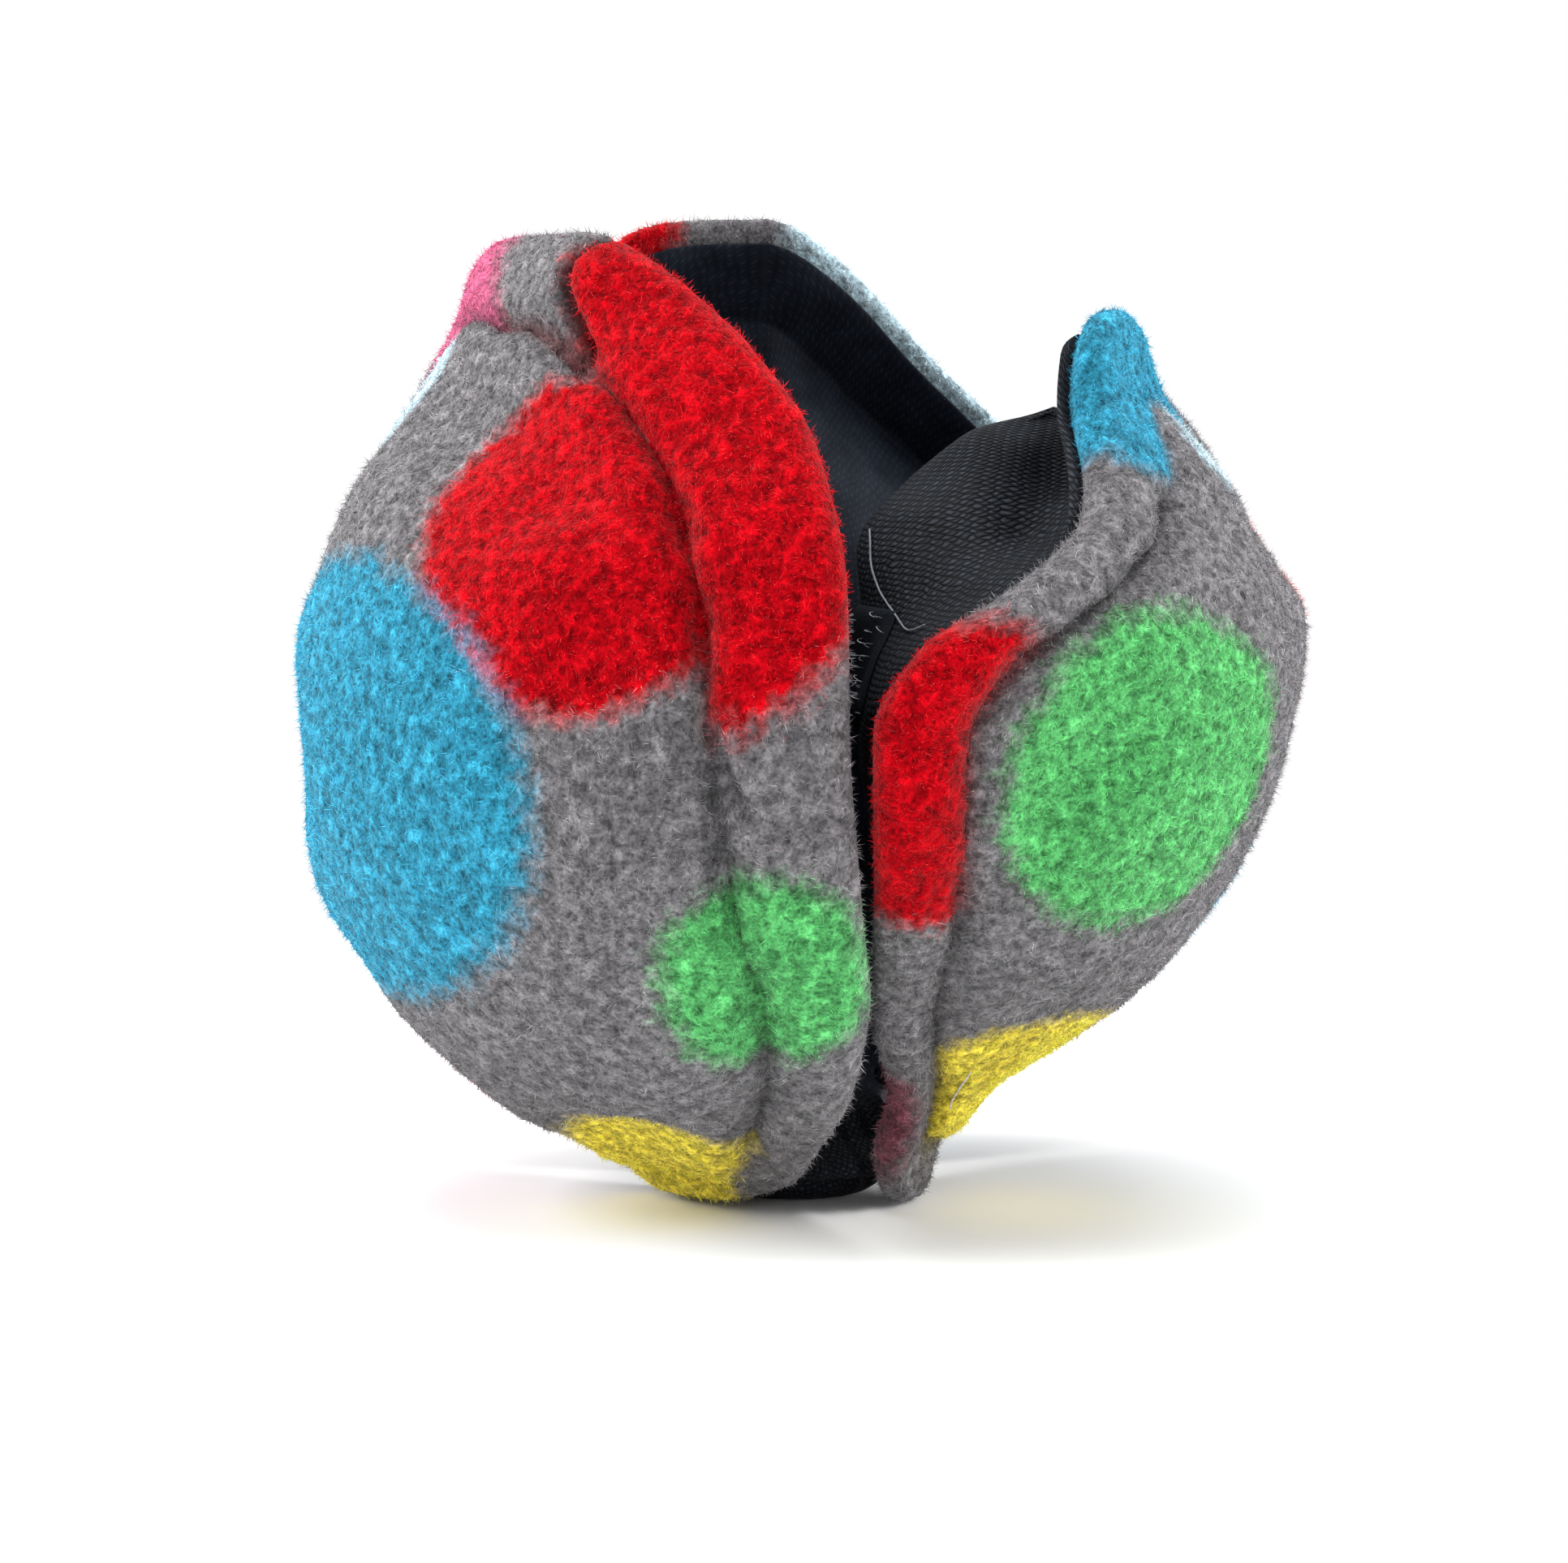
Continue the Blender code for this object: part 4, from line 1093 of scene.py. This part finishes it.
def makeHooks(name, top, normal):
    # Rows of small arched hooks, each a bent tube of three sides
    random = np.random.default_rng(tape["seed"] + 1)
    lastRow, lastColumn = top.shape[0] - 1, top.shape[1] - 1
    tall = np.linalg.norm(np.diff(top, axis=0), axis=-1).mean() * lastRow
    wide = np.linalg.norm(np.diff(top, axis=1), axis=-1).mean() * lastColumn
    rows, columns = int(tall / tape["hookPitch"]), int(wide / tape["hookPitch"])
    steps = tape["hookSteps"]
    points, faces = [], []
    for i in range(1, rows):
        for j in range(1, columns):
            row = int((i + random.uniform(-0.15, 0.15)) / rows * lastRow)
            column = (j + 0.5 * (i % 2) - 0.25 + random.uniform(-0.12, 0.12)) / columns * lastColumn
            column = int(np.clip(column, 1, lastColumn - 1))
            if random.random() < tape["hookGaps"]:
                continue
            foot, up = Vector(top[row, column]), Vector(normal[row, column])
            along = (Vector(top[row, column + 1]) - foot).normalized()
            along = (along + Vector(random.normal(size=3)) * tape["hookTurn"]).normalized()
            aside = up.cross(along).normalized()
            first = len(points)
            height = tape["hookHeight"] * random.uniform(0.75, 1.15)
            for step in range(steps + 1):
                angle = math.pi * tape["hookBend"] * step / steps
                forward = height * tape["hookReach"] * (1 - math.cos(angle))
                centre = foot + up * (math.sin(angle) * height) + along * forward
                out = (up * math.sin(angle) - along * math.cos(angle)).normalized()
                for turn in (0, 2.094, 4.188):
                    aim = out * math.cos(turn) + aside * math.sin(turn)
                    points.append(centre + aim * tape["hookRadius"])
            for step in range(steps):
                for side in range(3):
                    a, b = first + step * 3 + side, first + step * 3 + (side + 1) % 3
                    faces.append((a, b, b + 3, a + 3))
            last = first + 3 * steps
            faces.append((first + 2, first + 1, first))
            faces.append((last, last + 1, last + 2))
    piece = buildMesh(name + "Hooks", np.array(points), faces)
    turnOutwards(piece)
    return piece


# Threads: the pale one that binds the right lining's swell, and a stray one on the right fleece
threads = {  # the radius, and the points near which the thread runs, in metres
    "binding": (0.00013, (
        (0.0089, -0.0140, 0.0785), (0.0090, -0.0150, 0.0751), (0.0098, -0.0180, 0.0720),
        (0.0114, -0.0230, 0.0693), (0.0129, -0.0275, 0.0673), (0.0146, -0.0305, 0.0680),
    )),
    "stray": (0.00010, (
        (0.0200, -0.0230, 0.0176), (0.0189, -0.0224, 0.0158), (0.0181, -0.0214, 0.0142),
        (0.0178, -0.0204, 0.0130),
    )),
}
threadSteps = 8
threadLift = 0.00012


def makeThread(name, kind, carrier):
    # A thin tube over points that are each brought onto the cloth
    radius, marks = threads[kind]
    line = bpy.data.curves.new(name, "CURVE")
    line.dimensions = "3D"
    line.bevel_depth = radius
    line.bevel_resolution = 1
    line.use_fill_caps = True
    marks = np.array(marks)
    wanted = np.linspace(0, len(marks) - 1, threadSteps * (len(marks) - 1) + 1)
    places = [readTable(list(enumerate(marks[:, axis])), wanted) for axis in range(3)]
    strip = line.splines.new("POLY")
    strip.points.add(len(wanted) - 1)
    eye = bpy.context.scene.camera.location
    for point, near in zip(strip.points, np.stack(places, -1)):
        # onto the side of the cloth that the camera sees
        found, place, normal = carrier.ray_cast(eye, (Vector(near) - eye).normalized())[:3]
        if not found:
            place, normal = carrier.closest_point_on_mesh(Vector(near))[1:3]
        point.co = (place + normal * (radius + threadLift)).to_4d()
    activate(newObject(name, line))
    bpy.ops.object.convert(target="MESH")
    piece = bpy.context.view_layer.objects.active
    piece.select_set(False)
    return piece


# Materials
# Painted shade in the pits between the fleece's strands, and painted light on the strands between them
pitShadows = {
    "scale": 980.0,
    "bendScale": 640.0,
    "bend": 0.0030,
    "from": 0.12,
    "to": 0.62,
    "light": 1.16,
}
fleeceLooks = {  # of the cloth, and of the fibres that stand on it
    # the lower ends of the cloth's patches and pits, below the fibres', are painted shade under the fibres
    "brushedFleece": {"roughness": 1.0, "gloss": 0.03, "sheen": 0.14, "patch": 0.60, "pitShadowDepth": 0.52},
    "fleecePile": {"roughness": 0.9, "gloss": 0.06, "sheen": 0.11, "patch": 0.74, "pitShadowDepth": 0.70},
}
weave = {
    "sway": 0.0010,
    "swayScale": 420.0,
    "warp": 0.62,
    "fuzz": 0.35,
    "fuzzScale": 5200.0,
    "from": 0.42,
    "to": 1.15,
    "wear": (0.70, 1.35),
    "wearScale": 260.0,
    "roughness": 0.55,
    "bumpDepth": 0.30,
}


def grey(value):
    return (value,) * 3


def noiseNode(nodes, place, scale, detail=3.0, roughness=0.55):
    values = {"Scale": scale, "Detail": detail, "Roughness": roughness, "Vector": place}
    return addNode(nodes, "TexNoise", (), values)["Fac"]


def bendNode(nodes, flat, place, scale, bend):
    # The places flat, moved by a noise over place
    moves = addNode(nodes, "TexNoise", (), {"Scale": scale, "Vector": place})["Color"]
    values = {0: moves, 1: grey(bend), 2: flat}
    return addNode(nodes, "VectorMath", {"operation": "MULTIPLY_ADD"}, values)[0]


def rampNode(nodes, value, low, high, lowColour, highColour):
    values = {6: value, 7: grey(low), 8: grey(high), 9: lowColour, 10: highColour}
    return addNode(nodes, "MapRange", {"data_type": "FLOAT_VECTOR"}, values)[1]


def multiplyColour(nodes, first, second):
    return addNode(nodes, "VectorMath", {"operation": "MULTIPLY"}, {0: first, 1: second})[0]


def bumpNode(nodes, skin, height, strength, distance):
    values = {"Strength": strength, "Distance": distance, "Height": height}
    feed(skin, "Normal", addNode(nodes, "Bump", (), values)[0])


def pitShadowNode(nodes, place, depth):
    # Painted shade in the pits between the strands, uneven in shape, and painted light on the strands
    # round them
    bent = bendNode(nodes, place, place, pitShadows["bendScale"], pitShadows["bend"])
    cells = addNode(nodes, "TexVoronoi", (), {"Scale": pitShadows["scale"], "Vector": bent})["Distance"]
    return rampNode(nodes, cells, pitShadows["from"], pitShadows["to"], grey(depth), grey(pitShadows["light"]))


def fleeceShade(name):
    look = fleeceLooks[name]
    shade, nodes, skin = newShade(name, look["roughness"], look["gloss"], look["sheen"])
    # the colouring holds the dyes with the painted light and shade put into them
    colour = addNode(nodes, "Attribute", {"attribute_name": "colouring"})["Color"]
    place = addNode(nodes, "TexCoord")["Object"]
    if name == "brushedFleece":
        fine = noiseNode(nodes, place, 2600.0, 4.0, 0.65)
        strands = rampNode(nodes, fine, 0.30, 0.72, grey(0.45), grey(1.25))
        colour = multiplyColour(nodes, colour, strands)
        bumpNode(nodes, skin, fine, 0.9, 0.0004)
    clump = noiseNode(nodes, place, 620.0, 3.0, 0.6)
    patchy = rampNode(nodes, clump, 0.32, 0.70, grey(look["patch"]), grey(1.20))
    colour = multiplyColour(nodes, colour, patchy)
    colour = multiplyColour(nodes, colour, pitShadowNode(nodes, place, look["pitShadowDepth"]))
    feed(skin, "Base Color", colour)
    return shade


def weaveShade(name, dark, crownHighlight, bump=0.8, gloss=0.08):
    # Plain weave: threads both ways that pass over and under each other, with a little fuzz. The tops of
    # the threads are painted lighter as a painted sheen, and the gaps between them darker as painted shade
    shade, nodes, skin = newShade(name, weave["roughness"], gloss)

    def calc(operation, *values):
        return mathNode(nodes, operation, *values)

    place = addNode(nodes, "TexCoord")["Object"]
    flat = addNode(nodes, "UVMap", {"uv_map": "cloth"})[0]
    swayed = bendNode(nodes, flat, place, weave["swayScale"], weave["sway"])
    split = addNode(nodes, "SeparateXYZ", (), {0: swayed})
    u, v = [calc("MULTIPLY", split[axis], 1 / lining["pitch"]) for axis in (0, 1)]
    odd = calc("PINGPONG", calc("ADD", calc("FLOOR", u), calc("FLOOR", v)), 1.0)
    crossU, crossV = [calc("SINE", calc("MULTIPLY", calc("FRACT", run), math.pi)) for run in (u, v)]
    weft = calc("MULTIPLY", calc("MULTIPLY", crossV, calc("SQRT", crossU)), odd)
    warp = calc("MULTIPLY", crossU, calc("SQRT", crossV))
    warp = calc("MULTIPLY", calc("MULTIPLY", warp, calc("SUBTRACT", 1.0, odd)), weave["warp"])
    fuzz = calc("MULTIPLY", noiseNode(nodes, place, weave["fuzzScale"], 2.0), weave["fuzz"])
    height = calc("ADD", calc("ADD", weft, warp), fuzz)
    # painted sheen on the thread tops, painted shade between them
    paintedSheenTone = rampNode(nodes, height, weave["from"], weave["to"], dark, crownHighlight)
    low, high = weave["wear"]
    wear = rampNode(nodes, noiseNode(nodes, place, weave["wearScale"]), 0.3, 0.7, grey(low), grey(high))
    feed(skin, "Base Color", multiplyColour(nodes, paintedSheenTone, wear))
    bumpNode(nodes, skin, height, bump, lining["pitch"] * weave["bumpDepth"])
    return shade


def threadShade(name, colour, roughness, gloss=0.3):
    shade, nodes, skin = newShade(name, roughness, gloss)
    fine = noiseNode(nodes, addNode(nodes, "TexCoord")["Object"], 3400.0)
    darker = tuple(value * 0.6 for value in colour)
    brighter = tuple(value * 1.5 for value in colour)
    feed(skin, "Base Color", rampNode(nodes, fine, 0.3, 0.7, darker, brighter))
    bumpNode(nodes, skin, fine, 0.5, 0.0002)
    return shade


shades = {
    "fleece": fleeceShade("brushedFleece"),
    "pile": fleeceShade("fleecePile"),
    # The second colour of each weave is the painted sheen on the tops of its threads
    "lining": weaveShade("blackWeave", (0.0012, 0.0017, 0.0032), (0.034, 0.040, 0.050)),
    # The back petal's lining: a flatter copy of the black weave, its sheen dimmed as painted shade
    "paintedShadeLining": weaveShade("paintedShadeWeave", (0.0075, 0.0098, 0.0155), (0.0155, 0.0190, 0.0270), 0.12, 0.04),
    "base": weaveShade("baseWeave", (0.0022, 0.0026, 0.0042), (0.019, 0.022, 0.029)),
    "hook": threadShade("hookNylon", (0.009, 0.011, 0.015), 0.8, 0.05),
    "hooks": threadShade("paleHooks", (0.34, 0.36, 0.39), 0.35),
    "binding": threadShade("paleThread", (0.20, 0.22, 0.25), 0.5),
    "stray": threadShade("strayThread", (0.62, 0.62, 0.60), 0.6),
    "loop": threadShade("loopBrushed", (0.016, 0.018, 0.022), 0.95),
    "thread": threadShade("blackThread", (0.020, 0.021, 0.024), 0.6),
}
print("materials made")


def bendPetal(piece):
    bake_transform(piece)


def dress(piece, shade):
    piece.data.materials.append(shades[shade])
    bendPetal(piece)


for name, petal in petals.items():
    piece, sources = makeCover(name, petal)
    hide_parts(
        name + "_fleece_lower",
        name + "_fleece_upper",
        name + "_filling_lower",
        name + "_filling_upper",
    )
    dress(piece, "fleece")
    fuzz = makePile(name, sources)
    dress(fuzz, "pile")
    inside = makeLining(name, petal)
    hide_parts(name + "_lining_lower", name + "_lining_upper")
    # the back petal's lining gets the copy with painted shade
    dress(inside, "paintedShadeLining" if name == "back" else "lining")
    print(name, "petal made", [len(part.data.polygons) for part in (piece, fuzz, inside)])
    if name == "right":
        for kind, carrier in (("binding", inside), ("stray", piece)):
            strand = makeThread(kind + "Thread", kind, carrier)
            dress(strand, kind)
    for kind, side in (("hook", "left"), ("loop", "right")):
        strip, top, normal = makeTape(name, petal, side, kind)
        nap = makeHooks(name, top, normal) if kind == "hook" else makeLoops(name, top, normal)
        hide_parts(name + "_" + kind + "_tape")
        dress(strip, kind)
        dress(nap, "hooks" if kind == "hook" else "pile")
    print(name, "tapes made")


# Base: a soft woven patch, the gathered ends of the linings over it, and the stitches on top
base = {
    "turns": 160,
    "rings": 7,
    "pleats": 23,
    "wrinkle": 0.00030,
    "wrinkleScale": 0.0050,
    "calm": 0.008,
    "narrowest": 0.004,
    "stitches": 18,
    "stitchRadius": 0.00026,
    "stitchStep": 0.00040,
    "stitchArch": (0.00026, 0.00016, 0.0, -0.00016, -0.00026),
}
baseProfiles = {  # radius, height and depth of the pleats, in millimetres, from the middle outwards
    "patch": ((0, 0, 0), (4.5, 0.0, 0), (7.6, 0.15, 0.05), (9.8, 0.9, 0.12), (11.0, 2.1, 0.2),
              (11.2, 3.3, 0.2), (10.2, 4.2, 0.1), (7.0, 4.6, 0), (0, 4.6, 0)),
    "gathers": ((0, 12.1, 0), (4.5, 12.3, 0), (7.6, 12.1, 0.1), (9.8, 11.2, 0.25), (11.2, 9.5, 0.4),
                (12.4, 7.6, 0.5), (14.6, 6.2, 0.6), (15.8, 5.2, 0.6), (15.4, 4.1, 0.5),
                (12.6, 3.1, 0.3), (9.0, 2.6, 0), (0, 2.6, 0)),
}


def makeBaseCloth(name, profile):
    # A closed form turned about the ball's axis, pleated where the cloth is gathered
    marks = np.array(profile) / 1000
    wanted = np.linspace(0, len(marks) - 1, base["rings"] * (len(marks) - 1) + 1)
    tables = [list(enumerate(marks[:, k])) for k in range(3)]
    radius, height, pleat = [readTable(table, wanted)[:, None] for table in tables]
    turns = base["turns"]
    angle = np.arange(turns)[None, :] * (2 * math.pi / turns)
    wave = np.cos(base["pleats"] * angle + 1.3 * np.sin(5 * angle) + 0.8 * np.sin(3 * angle + 1))
    wide = radius + pleat * wave
    grid = np.stack([wide * np.cos(angle), wide * np.sin(angle), height + 0 * angle], -1)
    lift = noiseAt(grid, base["wrinkleScale"], 11.0) * base["wrinkle"]
    lift = lift * np.clip(radius / base["calm"], 0, 1) ** 2
    grid = aboveFloor(grid * (1 + lift / np.maximum(wide, base["narrowest"]))[..., None], 0.0)
    run = np.cumsum(np.hypot(np.diff(radius[:, 0]), np.diff(height[:, 0])))
    run = np.concatenate([[0], run])[:, None]
    flat = np.stack([run * np.cos(angle), run * np.sin(angle)], -1)

    def listed(values):
        # The middle of the first ring, all rings between, and the middle of the last
        return np.concatenate([values[0, :1], values[1:-1].reshape(-1, values.shape[-1]), values[-1, :1]])

    place = 1 + np.arange((len(wanted) - 2) * turns).reshape(-1, turns)
    beside = np.roll(place, -1, axis=1)
    faces = np.stack([place[:-1], beside[:-1], beside[1:], place[1:]], -1).reshape(-1, 4).tolist()
    faces += [(0, a, b) for a, b in zip(beside[0].tolist(), place[0].tolist())]
    last = int(place[-1, -1]) + 1
    faces += [(last, a, b) for a, b in zip(place[-1].tolist(), beside[-1].tolist())]
    piece = buildMesh(name, listed(grid), faces)
    turnOutwards(piece)
    mapCloth(piece, listed(flat))
    return piece


def makeStitches(name):
    # One arched stitch, extruded step by step, and its copies round the ring
    low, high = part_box("base_stitching")
    ring = (high[0] - low[0]) / 2 - base["stitchRadius"]
    half = base["stitchStep"] * len(base["stitchArch"]) / 2
    bpy.ops.object.select_all(action="DESELECT")
    bpy.ops.mesh.primitive_circle_add(
        vertices=8,
        radius=base["stitchRadius"],
        fill_type="NGON",
        location=(ring, -half, low[2] + base["stitchRadius"]),
        rotation=(math.pi / 2, 0, 0),
    )
    first = bpy.context.object
    bpy.ops.object.mode_set(mode="EDIT")
    bpy.ops.mesh.select_all(action="SELECT")
    for rise in base["stitchArch"]:
        bpy.ops.mesh.extrude_region_move(TRANSFORM_OT_translate={"value": (0, base["stitchStep"], rise)})
    bpy.ops.mesh.select_all(action="SELECT")
    bpy.ops.mesh.normals_make_consistent(inside=False)
    bpy.ops.object.mode_set(mode="OBJECT")
    bpy.ops.object.transform_apply(location=True, rotation=True, scale=True)
    first.select_set(False)
    stitches = []
    for number in range(base["stitches"]):
        turn = 2 * math.pi * number / base["stitches"]
        stitch = newObject(name, first.data.copy())
        stitch.data.transform(Matrix.Rotation(turn, 4, "Z"))
        stitches.append(stitch)
    bpy.data.objects.remove(first, do_unlink=True)
    bpy.context.view_layer.objects.active = stitches[0]
    for stitch in stitches:
        stitch.select_set(True)
    bpy.ops.object.join()
    piece = bpy.context.view_layer.objects.active
    piece.name = name
    piece.data.shade_smooth()
    piece.select_set(False)
    return piece


for name, node, kind in (("basePatch", "base_patch", "patch"), ("baseGathers", "base_core", "gathers")):
    piece = makeBaseCloth(name, baseProfiles[kind])
    piece.data.materials.append(shades["base"])
    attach(piece, "base")
    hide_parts(node)
piece = makeStitches("baseStitches")
piece.data.materials.append(shades["thread"])
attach(piece, "base")
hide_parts("base_stitching")
print("base made")
